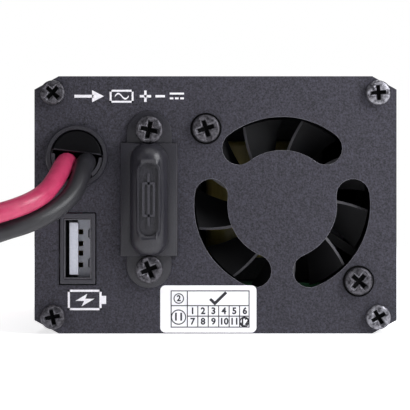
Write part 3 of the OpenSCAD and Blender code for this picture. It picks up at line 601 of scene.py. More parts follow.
# %% Background
world = bpy.data.worlds.new("white_paper_room")
bpy.context.scene.world = world
world.use_nodes = True
tree = world.node_tree
tree.nodes.clear()
seen = add(tree, "Background", {"Color": (1, 1, 1, 1), "Strength": 1.0})
lit = add(tree, "Background", {"Color": (0.93, 0.94, 1, 1), "Strength": 0.13})
path_kind = add(tree, "LightPath")
mixed = add(tree, "MixShader", links={"Fac": (path_kind, "Is Camera Ray"), 1: (lit, "Background"),
                                      2: (seen, "Background")})
add(tree, "OutputWorld", links={"Surface": (mixed, "Shader")})
bpy.context.scene.view_settings.view_transform = "Standard"
print("world:", world.name)

# %% Floor
white_paper = finish("white_background_paper", "#fbfbfd", 0.9, 3, 0.02, "#fafafc", "#fdfdff",
                     Emission_Strength=0.7)
deselect()
bpy.ops.mesh.primitive_plane_add(size=2, location=(0, 0, -0.05 * mm))
floor = keep("paper_floor")
bpy.ops.object.transform_apply(location=True, rotation=True, scale=True)
floor.data.materials.append(white_paper)


# %% Softboxes
def softbox(name, at, aim, size, power, tint=(1, 1, 1)):
    """A rectangular area light in metres, turned towards a point."""
    data = bpy.data.lights.new(name, "AREA")
    data.shape, data.size, data.size_y = "RECTANGLE", size[0], size[1]
    data.energy, data.color = power, tint
    light = linked(name, data)
    light.location = at
    light.rotation_euler = (Vector(aim) - Vector(at)).to_track_quat("-Z", "Y").to_euler()


softbox("overhead_softbox", (0.05, -0.45, 0.75), (0, -0.05, 0.03), (0.7, 0.5), 1.45)
softbox("right_softbox", (0.16, -0.2, 0.13), (0.02, -0.07, 0.03), (0.08, 0.14), 0.4, (0.97, 0.98, 1))
softbox("left_strip", (-0.55, -0.5, 0.3), (0, -0.07, 0.03), (0.12, 0.5), 0.22)
softbox("back_softbox", (0.1, 0.7, 0.6), (0, 0.05, 0.03), (0.5, 0.4), 3)
print("lights:", len(bpy.data.lights))

# %% [markdown] ## Leads: material and what they stand for The leads stand for five CAD solids: each
# lead, each tail, and the coil between them.

# %% Dress the leads
dress(red_wire, red_pvc, "red_rubber", "red_lead", "red_tail", "lead_coil")
dress(black_wire, black_pvc, "black_rubber", "black_lead", "black_tail", "lead_coil")
print("leads dressed: 2")

# %% [markdown]
# ## The case and its end panels
# The case is an extrusion: every line runs straight from end to end, which CAD has exactly. A die leaves
# its edges slightly round, and powder coat makes them rounder still, so the CAD shape is copied, its
# triangles are merged into flat faces, and a narrow bevel goes round every edge. That thin bevel is what
# catches the light along the ribs.

# %% Case and panels
case = refined("case_tube", "ribbed_case", 0.22, 2)
dress(case, anodised, "case_coat", "case_tube")
dc_panel = refined("dc_end_panel", "dc_panel", 0.22, 3)
dress(dc_panel, powder_coat, "panel_coat", "dc_end_panel")
# The punched edges of the fan's slots are where the coat is thinnest, and a little metal shows through.
dc_panel.data.materials.append(thin_coat)
for face in dc_panel.data.polygons:
    beside_fan = math.hypot(face.center.x - fan.x, face.center.z - fan.z) < 19.2 * mm
    face.material_index = int(beside_fan and -0.97 < face.normal.y < -0.2)
ac_panel = refined("ac_end_panel", "ac_panel", 0.22, 3)
dress(ac_panel, powder_coat, "panel_coat", "ac_end_panel")
print("case faces:", len(case.data.polygons), "panel faces:", len(dc_panel.data.polygons))

# %% [markdown]
# ## Pan-head screws
# The panels are held by pan-head screws with a cross recess. A pan head has a nearly flat top and a tightly
# rounded shoulder, so a cylinder gets two insets that raise its crown, and then a rounded rim. The recess
# is a tapered cross, cut with a boolean, with a small cone at its centre for the driver's tip. A shallow
# and wider cut goes first: it leaves the edge that a driver has rubbed bright. The faces deep in the
# recess are painted near-black, as painted shade where the light doesn't reach.


# %% Model one screw
def pan_screw(name, radius, height=1.7, length=8):
    """A pan-head screw standing on the origin, with its shank below; sizes in mm."""
    head = disc(name, radius, height, (0, 0, height / 2), 40)
    inset(head, up, (0.28 * radius, 0.12 * height), (0.3 * radius, 0.05 * height))
    soften(head, 0.2 * height, 4, 40)
    for turn in (0, 90):
        rub = block("rubbed_edge", (1.56 * radius, 0.54 * radius, 0.3 * height), (0, 0, 1.2 * height))
        taper(rub, down, 0.93, 0.76)
        cross = block("cross_arm", (1.44 * radius, 0.4 * radius, 1.4 * height), (0, 0, 1.25 * height))
        taper(cross, down, 0.76, 0.66)
        cut(head, place(rub, turn=(0, 0, turn)), place(cross, turn=(0, 0, turn)))
    tip = disc("driver_tip", 0.44 * radius, 1.2 * height, (0, 0, height), 12)
    taper(tip, down, 0.25, 0.25)
    cut(head, tip)
    shank = disc("shank", 1.2, length, (0, 0, -length / 2), 20)
    taper(shank, down, 0.6, 0.6)
    for surface in (black_oxide, recess_shade_and_washer_black, worn_zinc):
        head.data.materials.append(surface)
    # Painted shade: faces deep in the recess get the near-black, and the slopes of the rubbed edge get worn
    # zinc.
    for face in head.data.polygons:
        if math.hypot(face.center.x, face.center.y) < 0.8 * radius * mm:
            if face.center.z < 0.97 * height * mm:
                face.material_index = 1
            elif face.normal.z < 0.93:
                face.material_index = 2
    whole = join(name, [head, shank])
    smooth(whole, 32)
    return whole


CORNER_SCREW_R, WIDE_SCREW_R = 2.6, 2.9
corner_screw = pan_screw("corner_screw", CORNER_SCREW_R)
wide_screw = pan_screw("wide_screw", WIDE_SCREW_R)
print("screw faces:", len(corner_screw.data.polygons))

# %% Put a copy at each hole
def discard(*pieces):
    """Removes patterns that have been copied."""
    for piece in pieces:
        bpy.data.objects.remove(piece, do_unlink=True)


low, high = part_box("dc_panel_screws")
inwards = CORNER_SCREW_R * mm
corner_x, corner_low, corner_high = high[0] - inwards, low[2] + inwards, high[2] - inwards
# On the DC panel, the two screws at the right have lost their black finish.
corners = [(-corner_x, corner_low, 12, black_oxide), (corner_x, corner_low, 30, worn_zinc),
           (-corner_x, corner_high, 48, black_oxide), (corner_x, corner_high, 5, worn_zinc)]
for k, (x, z, spin, surface) in enumerate(corners):
    piece = on_dc_panel(twin(corner_screw, f"dc_panel_screw_{k}"), x, z, spin)
    dress(piece, surface, "zinc", "dc_panel_screws")
for k, (x, z, spin, _) in enumerate(corners):
    piece = on_ac_panel(twin(corner_screw, f"ac_panel_screw_{k}"), x, z, spin + 20)
    dress(piece, black_oxide, "zinc", "ac_panel_screws")
discard(corner_screw)
print("corner screws:", 2 * len(corners))

# %% [markdown]
# ## The fan
# The fan is an axial 40 mm one. Only what shows through the three slots matters to the eye, but the slots
# are wide: nine blades with sharp leading edges, a round hub, and the yellow transformer far behind. A
# blade is a thin curved plate, so each row of a small grid is turned a little further round the axis and
# pushed further back, and Solidify gives it its thickness. Nine copies stand round the hub.

# %% Fan blade and hub
HUB_R, BLADE_R, BLADES = 11, 18.2, 9
BLADE_ROOT = HUB_R - 0.4      # mm; a blade starts inside the hub
FAN_FRONT = -2.1              # mm from the panel's face
LEAN, SWEEP = 8.5, 26         # degrees: the root runs ahead by LEAN, and the back edge trails by SWEEP


def fan_blade(name):
    """One blade: its leading edge is at angle 0, and it sweeps clockwise towards the back."""
    deselect()
    bpy.ops.mesh.primitive_grid_add(x_subdivisions=12, y_subdivisions=10, size=1)
    blade = keep(name)
    for vertex in blade.data.vertices:
        along, across = vertex.co.x + 0.5, vertex.co.y + 0.5
        radius = BLADE_ROOT + (BLADE_R - BLADE_ROOT) * along
        angle = math.radians(LEAN * (1 - along) - SWEEP * across)
        depth = FAN_FRONT - 1 - 5.3 * across - 0.35 * math.sin(math.pi * across)
        vertex.co = Vector((radius * math.cos(angle), radius * math.sin(angle), depth)) * mm
    modify(blade, "SOLIDIFY", thickness=0.75 * mm, offset=0)
    edit(blade)
    bpy.ops.mesh.normals_make_consistent(inside=False)
    deselect()
    blade.data.materials.append(fan_plastic)
    blade.data.materials.append(blade_highlight)
    # Painted highlight: the faces along the leading edge get the lighter grey of slot 1.
    for face in blade.data.polygons:
        centre = face.center / mm
        along = (math.hypot(centre.x, centre.y) - BLADE_ROOT) / (BLADE_R - BLADE_ROOT)
        ahead = math.degrees(math.atan2(centre.y, centre.x)) - LEAN * (1 - along)
        face.material_index = int(ahead > -0.4)
    smooth(blade, 35)
    return blade


hub = disc("hub", HUB_R, 7, (0, 0, FAN_FRONT - 3.5), 72)
inset(hub, up, (1.2, 0), (0.5, -0.25))
edit(hub, "FACE", down)
bpy.ops.mesh.inset(thickness=1 * mm)
bpy.ops.mesh.extrude_region_move(TRANSFORM_OT_translate={"value": (0, 0, 5.8 * mm)})
deselect()
soften(hub, 0.5, 3, 40)
first = fan_blade("fan_blade")
blades = [place(twin(first, f"fan_blade_{k}"), turn=(0, 0, 75.9 + 360 / BLADES * k)) for k in range(BLADES)]
discard(first)
rotor = join("fan_rotor_blades", [hub] + blades)
dress(on_dc_panel(rotor, fan.x, fan.z), fan_plastic, "fan_black", "fan_rotor", body="fan_rotor_body")
print("rotor faces:", len(rotor.data.polygons))

# %% Fan frame and screws
fan_housing = refined("fan_frame", "fan_housing", 0.3, 2)
dress(fan_housing, fan_plastic, "fan_black", "fan_frame")
low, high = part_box("fan_screws")
inwards = WIDE_SCREW_R * mm
fan_holes = ((low[0] + inwards, high[2] - inwards), (high[0] - inwards, low[2] + inwards))
for k, (x, z) in enumerate(fan_holes):
    piece = on_dc_panel(twin(wide_screw, f"fan_screw_{k}"), x, z, 18 + 30 * k)
    dress(piece, black_oxide, "zinc", "fan_screws")
    washer = disc(f"fan_screw_washer_{k}", 3.3, 0.22, (0, 0, 0.11))
    inset(washer, up, (0.3, 0.04))
    soften(washer, 0.05)
    dress(on_dc_panel(washer, x, z), recess_shade_and_washer_black, "zinc")
print("fan screws:", len(fan_holes))

# %% [markdown]
# ## The fuse cover
# A blade fuse sits behind a snap-in cover: a crisp rectangular plate, rounded ears for its two screws, and
# a long dome that leaves room for the fuse. The dome is half of a capsule: a ball's two halves are moved
# apart, and what is below the plate is cut away. A shallow window holds the fuse symbol, which stands proud
# of it as moulded marks do.

# %% Plate, ears and dome
plate = block("fuse_cover_plate", (12.1, 23.8, 2.2), (0, 0, 1.1))
taper(plate, up, 0.985, 0.992)
soften(plate, 0.16, 3)
ears = outline("fuse_cover_ears", rounded(9.4, 37, 4.69, 14), 1.0)
soften(ears, 0.16)
deselect()
bpy.ops.mesh.primitive_uv_sphere_add(segments=48, ring_count=32, radius=4 * mm,
                                     rotation=(math.radians(90), 0, 0))
bpy.ops.object.transform_apply(location=True, rotation=True, scale=True)
dome = keep("fuse_cover_dome")
shift(dome, lambda v, n: v.y > 0.01, y=8)
shift(dome, lambda v, n: v.y < -0.01, y=-8)
place(dome, (0, 0, 2.2 * mm))
cut(dome, block("below", (20, 40, 20), (0, 0, -8.6)))
combine(plate, ears)
combine(plate, dome)
print("fuse cover faces:", len(plate.data.polygons))

# %% Window, hollow and screw seats
FUSE_SCREW_Y = 14.6     # mm from the cover's middle
border = outline("window_border", rounded(4.9, 16.2, 2.3, 12), 1.25, 4.62)
soften(border, 0.12)
combine(plate, border)
window = outline("window", rounded(3.9, 15.2, 1.85, 12), 3, 5.15)
cut(plate, window, block("fuse_room", (5.8, 20, 3.6), (0, 0, 1.7)))
for side in (-1, 1):
    y = side * FUSE_SCREW_Y
    cut(plate, disc("seat", 3.05, 6, (0, y, 4), 40), disc("hole", 1.45, 6, (0, y, 0), 24))
smooth(plate, 28)
fuse_cover = on_dc_panel(plate, fuse.x, fuse.z)
fuse_cover.name = fuse_cover.data.name = "fuse_cover_dome"
dress(fuse_cover, cover_plastic, "cover_black", "fuse_cover")
print("cover faces with the window:", len(fuse_cover.data.polygons))

# %% Fuse symbol and screws
bar = outline("fuse_mark_bar", rounded(0.5, 11, 0.2, 4), 0.55, 5.1)
frame_out = outline("fuse_mark", rounded(2.7, 7.2, 0.3, 4), 0.55, 5.1)
frame_in = outline("fuse_mark_in", rounded(1.7, 6.2, 0.15, 4), 2, 5)
cut(frame_out, frame_in)
fuse_mark = join("fuse_symbol", [frame_out, bar])
# The symbol gets a lighter grey as a painted highlight on its raised marks, which are the cover's own black.
dress(on_dc_panel(fuse_mark, fuse.x, fuse.z), grey_pbt_and_painted_highlight, "cover_black")
for k, side in enumerate((-1, 1)):
    piece = place(twin(wide_screw, f"fuse_screw_{k}"), (0, 0, 1 * mm))
    on_dc_panel(piece, fuse.x, fuse.z + side * FUSE_SCREW_Y * mm, 22 + 56 * k)
    dress(piece, black_oxide, "zinc", "fuse_cover_screws")
discard(wide_screw)
print("fuse screws: 2")

# %% [markdown]
# ## The strain relief
# The leads pass through a round nylon bushing that clips into the panel. It has a flange ring, a dark wedge
# that clamps the leads, and a curved cheek at each side of them. The wedge fills the upper part of the
# ring, above a chord, and the leads come out below it. A ring is round, so its profile is spun round the
# axis, as on a lathe.


# %% A lathe for round pieces
def lathe(name, profile, steps):
    """Spins a profile of (radius, height) points in mm round the Z axis into a closed piece."""
    deselect()
    mesh = bpy.data.meshes.new(name)
    edges = [(k, k + 1) for k in range(len(profile) - 1)]
    mesh.from_pydata([(r * mm, 0, z * mm) for r, z in profile], edges, [])
    piece = linked(name, mesh)
    edit(piece, "VERT")
    bpy.ops.mesh.spin(steps=steps, angle=math.radians(360), center=(0, 0, 0), axis=(0, 0, 1))
    bpy.ops.mesh.select_all(action="SELECT")
    bpy.ops.mesh.remove_doubles(threshold=0.002 * mm)
    bpy.ops.mesh.normals_make_consistent(inside=False)
    deselect()
    return piece


flange = [(5.5, 0.2), (5.5, 1.7), (5.6, 1.9), (6.3, 1.9), (6.55, 1.5), (6.6, 1.2), (6.6, 0)]
ring = lathe("strain_relief_ring", [(5.2, -3), (5.2, 0.2)] + flange + [(5.55, 0), (5.55, -3), (5.2, -3)], 72)
smooth(ring, 20)
dress(on_dc_panel(ring, gland.x, gland.z), moulded_nylon, "black_nylon", "strain_relief_body")
for side, start, end in (("right", -52, -3), ("left", 173, 212)):
    bow = arc(5.45, start, end, 12) + arc(4.6, end, start, 12)
    cheek = outline(f"strain_relief_cheek_{side}", bow, 4.5, -3)
    soften(cheek, 0.16)
    dress(on_dc_panel(cheek, gland.x, gland.z), grey_pbt_and_painted_highlight, "black_nylon")
print("ring faces:", len(ring.data.polygons))

# %% Wedge above the leads
wedge = outline("strain_relief_wedge", arc(5.42, 165.2, 0.8, 48), 4.3, -3)
edit(wedge, "FACE", up)
bpy.ops.mesh.extrude_region_move(TRANSFORM_OT_translate={"value": (0, 0, 0.45 * mm)})
bpy.ops.transform.resize(value=(0.92, 0.9, 1), center_override=(0, 2.7 * mm, 0))
deselect()
soften(wedge, 0.1, 2, 25)
wedge.data.materials.append(wedge_nylon)
wedge.data.materials.append(grey_pbt_and_painted_highlight)
# Painted reflection of the floor: the bevel on the wedge's lower front edge gets the lighter grey.
for face in wedge.data.polygons:
    face.material_index = int(face.normal.y < -0.3 and face.normal.z > 0.2)
dress(on_dc_panel(wedge, gland.x, gland.z), wedge_nylon, "black_nylon", "strain_relief_wedge")
print("wedge faces:", len(wedge.data.polygons))

# %% [markdown]
# ## The USB outlet
# A type A socket: a shell of folded tin-plated steel in a plastic surround, with a white tongue that
# carries four spring contacts and grows out of a white foot. The shell's wall is only 0.3 mm thick, and its
# right side has two windows with spring fingers that grip the plug. It stands on edge, so its long side is
# upright.

# %% Surround and shell
SHELL_W, SHELL_H, WALL = 5.8, 12.7, 0.3
FINGERS_Y, CONTACTS_Y = (3.1, -3.1), (-3.5, -1, 1, 3.5)     # mm from the socket's middle
FINGERS_Z = -4.2                                            # mm from the panel's face


def bowed(name, size, at, reach, bow):
    """A leaf spring: a strip whose middle, so far up and down, is pushed sideways in X."""
    leaf = block(name, size, at)
    edit(leaf, "FACE", lambda c, n: abs(n.z) < 0.1)
    bpy.ops.mesh.subdivide(number_cuts=3)
    deselect()
    shift(leaf, lambda v, n: abs(v.z - at[2]) < reach, x=bow)
    return leaf


surround = block("usb_surround", (7.4, 14.8, 1.9), (0, 0, -0.55))
inset(surround, up, (0.35, 0.05))
cut(surround, block("opening", (SHELL_W + 0.1, SHELL_H + 0.1, 8)))
soften(surround, 0.12)
dress(on_dc_panel(surround, usb.x, usb.z), grey_pbt_and_painted_highlight, "usb_black", "usb_surround")
depth = (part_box("usb_shell")[1][1] - FACE_Y) / mm
shell = block("usb_shell", (SHELL_W, SHELL_H, depth), (0, 0, -depth / 2))
cut(shell, block("room", (SHELL_W - 2 * WALL, SHELL_H - 2 * WALL, depth), (0, 0, WALL - depth / 2)))
for y in FINGERS_Y:
    cut(shell, block("finger_window", (1, 2.2, 4.4), (2.75, y, FINGERS_Z)))
soften(shell, 0.06, 2, 40)
fingers = [bowed("spring_finger", (0.25, 1.6, 4), (2.45, y, FINGERS_Z), 0.1, -0.45) for y in FINGERS_Y]
shell = join("usb_shell", [shell] + fingers)
dress(on_dc_panel(shell, usb.x, usb.z), tin_plate, "tin", "usb_shell")
print("shell depth in mm:", round(depth, 1))

# %% Tongue and contacts
front = (FACE_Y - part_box("usb_tongue")[0][1]) / mm
tongue = block("usb_tongue", (1.8, 11, 9), (-0.92, 0, front - 4.5))
inset(tongue, lambda c, n: n.x > 0.9, (0.25, 0.06))
for y in CONTACTS_Y:
    cut(tongue, block("groove", (0.35, 1.15, 8.2), (-0.05, y, front - 5.2)))
soften(tongue, 0.12, 3, 40)
# The tongue's foot fills the shell behind it, with a slot round each contact and at the spring fingers.
foot = block("usb_foot", (2.8, 12, 1.2), (1.2, 0, -4.6))
for x, width, height, places in ((0.4, 1.1, 1.1, CONTACTS_Y), (2.5, 0.6, 2.2, FINGERS_Y)):
    cut(foot, *[block("slot_in_foot", (width, height, 4), (x, y, -4.6)) for y in places])
tongue = join("usb_tongue", [tongue, foot])
dress(on_dc_panel(tongue, usb.x, usb.z), white_plastic, "white_plastic", "usb_tongue")
contacts = []
for y in CONTACTS_Y:
    contact = bowed("usb_contact", (0.2, 0.9, 7.4), (-0.1, y, front - 5.2), 0.4, 0.75)
    soften(contact, 0.04)
    contacts.append(contact)
contacts = join("usb_contacts", contacts)
dress(on_dc_panel(contacts, usb.x, usb.z), contact_brass, "gold", "usb_contacts")
print("contact faces:", len(contacts.data.polygons))

# %% [markdown]
# ## Printed marks
# White ink is screen-printed on the coat, only a few hundredths of a millimetre thick. The marks are
# generic: an arrow into the case with a plus, a minus and the sign for direct current, and a battery with a
# charging bolt below the USB outlet. Each mark is drawn as flat outlines with a very small height.

# %% Helpers for printed lines
INK = 0.04      # mm of ink


def strip_of(name, x0, z0, x1, z1):
    """A printed rectangle between two corners, in mm on the panel (X to the right, Z up)."""
    return outline(name, [(x0, z0), (x1, z0), (x1, z1), (x0, z1)], INK)


def ring_of(name, radius, line, at, sides=40):
    """A printed circle line."""
    ink = disc(name, radius, INK, (at[0], at[1], INK / 2), sides)
    cut(ink, disc("inside", radius - line, 1, (at[0], at[1], 0), sides))
    return ink


def frame_of(name, x0, z0, x1, z1, line):
    """Four printed lines round a rectangle."""
    return [strip_of(f"{name}_top", x0, z1 - line, x1, z1), strip_of(f"{name}_low", x0, z0, x1, z0 + line),
            strip_of(f"{name}_left", x0, z0, x0 + line, z1), strip_of(f"{name}_right", x1 - line, z0, x1, z1)]


print("ink height in mm:", INK)

# %% Input marks
ROW = 49.8      # mm from the floor to the middle of the row
marks = [strip_of("arrow_stem", -29.6, ROW - 0.3, -25.6, ROW + 0.3),
         outline("arrow_head", [(-25.9, ROW - 1.25), (-23.4, ROW), (-25.9, ROW + 1.25)], INK)]
marks += frame_of("case", -22.2, ROW - 1.35, -17.2, ROW + 1.35, 0.4)
marks += [strip_of("plus_a", -15.9, ROW - 0.25, -13.5, ROW + 0.25),
          strip_of("plus_b", -14.95, ROW - 1.2, -14.45, ROW + 1.2),
          strip_of("minus", -12.6, ROW - 0.25, -10.6, ROW + 0.25),
          strip_of("dc_line", -9.6, ROW + 0.35, -6.6, ROW + 0.75)]
marks += [strip_of(f"dc_dash_{k}", -9.6 + 1.1 * k, ROW - 0.65, -8.85 + 1.1 * k, ROW - 0.25) for k in range(3)]
# The wave inside the case mark is one period of a sine.
wave = [(-21.1 + 2.9 * k / 29, ROW + 0.55 * math.sin(2 * math.pi * k / 29)) for k in range(30)]
under_wave = [(x, z - 0.18) for x, z in reversed(wave)]
marks.append(outline("wave", [(x, z + 0.18) for x, z in wave] + under_wave, INK))
input_marks = join("input_marks", marks)
dress(on_dc_panel(input_marks, 0, 0), white_ink, "label_white")
print("input marks:", len(marks))

# %% Charging mark
bolt = [(-26.9, 8.35), (-29.4, 6.85), (-27.55, 6.85), (-28.1, 5.7), (-25.4, 7.3), (-27.3, 7.3)]
marks = frame_of("cell", -31, 4.9, -23.9, 9.2, 0.45)
marks += [strip_of("cell_tip", -23.9, 6.2, -22.95, 7.9), outline("bolt", bolt, INK)]
charge_marks = join("charging_mark", marks)
dress(on_dc_panel(charge_marks, 0, 0), white_ink, "label_white")
print("charging marks:", len(marks))

# %% [markdown]
# ## The inspection label
# A paper label is stuck over the lower edge of the panel. It has a rounded outline, a column with two
# circled numbers at the left, a wide cell with a tick, and a small table of the numbers 1 to 12, one of
# which is struck through. The rules are printed as thin strips, and each number is a text that is turned
# into a mesh.

# %% Paper and rules
low, high = [[v / mm for v in corner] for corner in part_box("inspection_label")]
paper = outline("inspection_label", rounded(high[0] - low[0], high[2] - low[2], 1.1, 10), 0.1)
inset(paper, up, (0.08, 0.02))
dress(on_dc_panel(paper, label.x, label.z), label_paper, "label_white", "inspection_label")
RULE, COLUMNS = 0.2, 6
x0, x1, z0, z1 = low[0] + 2.2, high[0] - 1.45, low[2] + 1.05, high[2] - 1.05
column, table_top, row = x0 + 3.4, z0 + 4.5, z0 + 2.3
cell = (x1 - column) / COLUMNS
rules = frame_of("outer", x0, z0, x1, z1, RULE)
rules += [strip_of("column_rule", column, z0, column + RULE, z1),
          strip_of("cell_rule", x0, table_top, x1, table_top + RULE),
          strip_of("row_rule", column, row, x1, row + RULE)]
for k in range(1, COLUMNS):
    x = column + cell * k
    rules.append(strip_of(f"line_{k}", x, z0, x + RULE, table_top))
small_ring, large_ring = (x0 + 1.7, z0 + 6.1), (x0 + 1.65, z0 + 2.2)
rules += [ring_of("ring_small", 1.1, 0.2, small_ring), ring_of("ring_large", 1.6, 0.22, large_ring)]
print("label rules:", len(rules))


# %% Numbers and the tick
def number(text, size, at):
    """A printed number, centred there, as a mesh."""
    deselect()
    bpy.ops.object.text_add()
    piece = bpy.context.object
    piece.data.body = text
    piece.data.size = size * mm
    piece.data.align_x, piece.data.align_y = "CENTER", "CENTER"
    piece.data.extrude = INK / 2 * mm
    piece.data.offset = 0.035 * size * mm
    piece.data.resolution_u = 3
    bpy.ops.object.convert(target="MESH")
    return place(bpy.context.object, (at[0] * mm, at[1] * mm, INK / 2 * mm))


numbers = []
for k in range(2 * COLUMNS):
    line_z = z0 + (3.45 if k < COLUMNS else 1.25)
    numbers.append(number(str(k + 1), 1.9, (column + cell * (k % COLUMNS + 0.5) + 0.1, line_z)))
numbers += [number("2", 1.7, small_ring), number("11", 2.2, large_ring)]
tick = outline("tick", [(5.9, 7.35), (7.1, 6.2), (9.7, 8.75), (9.25, 9.15), (7.1, 7.05), (6.3, 7.75)], INK)
place(tick, (((column + x1) / 2 - 7.8) * mm, (z0 - 1.55) * mm, 0))
# The last number is struck through with two rounds of a pen.
strike = []
for radius, start in ((1.1, 20), (0.9, 190)):
    outer = arc(radius, start, start + 300, 24, (x1 - cell / 2, z0 + 1.2))
    inner = arc(radius - 0.2, start + 300, start, 24, (x1 - cell / 2 + 0.08, z0 + 1.2))
    strike.append(outline("pen_round", outer + inner, INK))
label_print = join("inspection_label_print", rules + numbers + [tick] + strike)
place(label_print, (0, 0, 0.12 * mm))
dress(on_dc_panel(label_print, 0, 0), label_ink, "case_coat")
print("label print faces:", len(label_print.data.polygons))

# %% [markdown]
# ## The AC end
# The other panel carries the mains outlet, the rocker switch, a green lamp and a row of vents. The outlet's
# slots and the vents are exact CAD holes, so those pieces are copied from the CAD and get moulded or coated
# edges. The rocker is a short wedge with two faces, and it carries the usual line and circle for on and
# off.

# %% Outlet
outlet = refined("outlet_body", "outlet_face", 0.35, 4)
dress(outlet, gloss_abs, "outlet_black", "outlet_body")
mains = middle("outlet_body")
rim = outline("outlet_rim", rounded(25.6, 31.6, 2.6, 8), 0.5, 1.7)
cut(rim, outline("inside", rounded(24.2, 30.2, 2, 8), 3))
soften(rim, 0.2, 3)
dress(on_ac_panel(rim, mains.x, mains.z), gloss_abs, "outlet_black")
print("outlet faces:", len(outlet.data.polygons))

# %% Rocker switch and lamp
bezel = refined("switch_housing", "switch_bezel", 0.4, 3)
dress(bezel, gloss_abs, "outlet_black", "switch_housing")
rocker = refined("switch_rocker", "switch_rocker", 0.35, 3)
dress(rocker, gloss_abs, "outlet_black", "switch_rocker", body="switch_rocker_body")
LAMP_R = 1.5
lamp = middle("power_lamp")
proud = (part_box("power_lamp")[1][1] - BACK_Y) / mm
crown = arc(LAMP_R, 90, 0, 6, (0, proud - LAMP_R))
lens = lathe("power_lamp", crown + [(LAMP_R, -1.2), (0, -1.2)], 40)
soften(lens, 0.05, 2, 50)
dress(on_ac_panel(lens, lamp.x, lamp.z), green_lens, "lamp_green", "power_lamp")
clip = lathe("lamp_ring", [(1.55, 0), (1.55, 0.3), (1.75, 0.45), (2.1, 0.4), (2.35, 0), (1.55, 0)], 40)
soften(clip, 0.06, 2, 40)
dress(on_ac_panel(clip, lamp.x, lamp.z), gloss_abs, "outlet_black")
print("lamp stands proud in mm:", round(proud, 2))

# %% Marks on the rocker
pressed = [face for face in rocker.data.polygons if face.normal.y > 0.85 and face.area > 10 * mm * mm]
for face in pressed:
    if face.center.z > middle("switch_rocker").z:
        mark = ring_of("off_circle", 1.5, 0.4, (0, 0))
    else:
        mark = strip_of("on_line", -0.25, -1.6, 0.25, 1.6)
    tilt = math.degrees(math.atan2(face.normal.z, face.normal.y))
    place(mark, turn=(0, 0, 180))
    place(mark, face.center, (-90 + tilt, 0, 0))
    dress(mark, white_ink, "label_white", body="switch_rocker_body")
print("rocker faces with a mark:", len(pressed))

# %% [markdown]
# ## The cable tie
# A releasable nylon tie holds the coil. Its band goes round all the turns and through a small square head,
# and the toothed tail stands out of the head.

# %% Tie
band = refined("coil_tie", "coil_tie_band", 0.35, 3)
head = block("tie_head", (3, 6, 3))
inset(head, lambda c, n: n.x < -0.9, (0.6, -0.5))
soften(head, 0.3, 3)
place(head, (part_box("coil_tie")[0][0] + 1.6 * mm, middle("coil_tie").y, 3.2 * mm))
tie = join("coil_tie_band", [band, head])
dress(tie, nylon_tie, "tie_black", "coil_tie")
print("tie faces:", len(tie.data.polygons))

# %% [markdown]
# ## The battery clamps
# Each clamp is two pressed steel halves on one pin, with a torsion spring between the handles and dipped
# vinyl grips. The halves are sheet metal, which CAD has exactly. The grips are soft and swollen, so they
# get a finer shape: an outline with a hollow for the fingers, extruded, rounded all over, and then cut by a
# row of grooves.

# %% Model one grip
GRIP_START, GRIP_LENGTH = -12.6, 23.4      # mm along the handle, from the pivot


def grip_side(share):
    """A point of the grip's outer side, at that share of its length."""
    return (GRIP_START - GRIP_LENGTH * share, 11.2 + 6.3 * share - 0.15 * math.sin(math.pi * share))


def clamp_grip(name):
    """A grip beside its handle, lying along -X from the pivot at the origin."""
    outer = [grip_side(k / 6) for k in range(7)]
    inner = [(-36.5, 15.9), (-36.5, 11.4), (-35.6, 9.8), (-24, 7.1), (-12.6, 4.8)]
    grip = outline(name, outer + inner, 11.6, -5.8)
    modify(grip, "BEVEL", width=1.7 * mm, segments=5, limit_method="ANGLE", angle_limit=math.radians(40),
           use_clamp_overlap=False)
    for k in range(8):
        x, y = grip_side((3.8 + 2 * k) / GRIP_LENGTH)
        groove = disc("groove", 0.42, 8.4, sides=12)
        taper(groove, None, 1, 1.2)
        cut(grip, place(groove, (x * mm, (y + 0.1) * mm, 0)))
    smooth(grip, 38)
    return grip


moving = clamp_grip("clamp_grip")
print("grip faces:", len(moving.data.polygons))


# %% Model one pin and one spring
SPRING_R, SPRING_HALF, SLOPE = 2.2, 2.3, math.radians(26)      # mm, and how far the legs lean outwards


def clamp_pin(name):
    """A rivet through both halves, with a domed head at each end."""
    half = [(1.5, 4.96), (2.4, 4.96), (2.4, 5.15), (2.1, 5.4), (1.3, 5.6), (0, 5.65)]
    return lathe(name, [(r, -z) for r, z in reversed(half)] + half, 40)


def clamp_spring(name):
    """A torsion spring of four and a half turns, with two straight legs against the handles."""
    legs = [(-far * math.cos(SLOPE), SPRING_R + far * math.sin(SLOPE)) for far in (13, 6)]
    points = [(x, -y, -SPRING_HALF) for x, y in legs]
    for k in range(91):
        angle = math.radians(18 * k - 90)
        points.append((SPRING_R * math.cos(angle), SPRING_R * math.sin(angle), SPRING_HALF * (k / 45 - 1)))
    points += [(x, y, SPRING_HALF) for x, y in reversed(legs)]
    spring = wire(name, [Vector(p) * mm for p in points], 0.24 * mm)
    spring.data.bevel_resolution = 3
    spring.data.resolution_u = 3
    activate(spring)
    bpy.ops.object.convert(target="MESH")
    return bpy.context.object


pin, spring = clamp_pin("clamp_pin"), clamp_spring("clamp_spring")
smooth(pin, 40)
smooth(spring, 40)
print("spring faces:", len(spring.data.polygons))

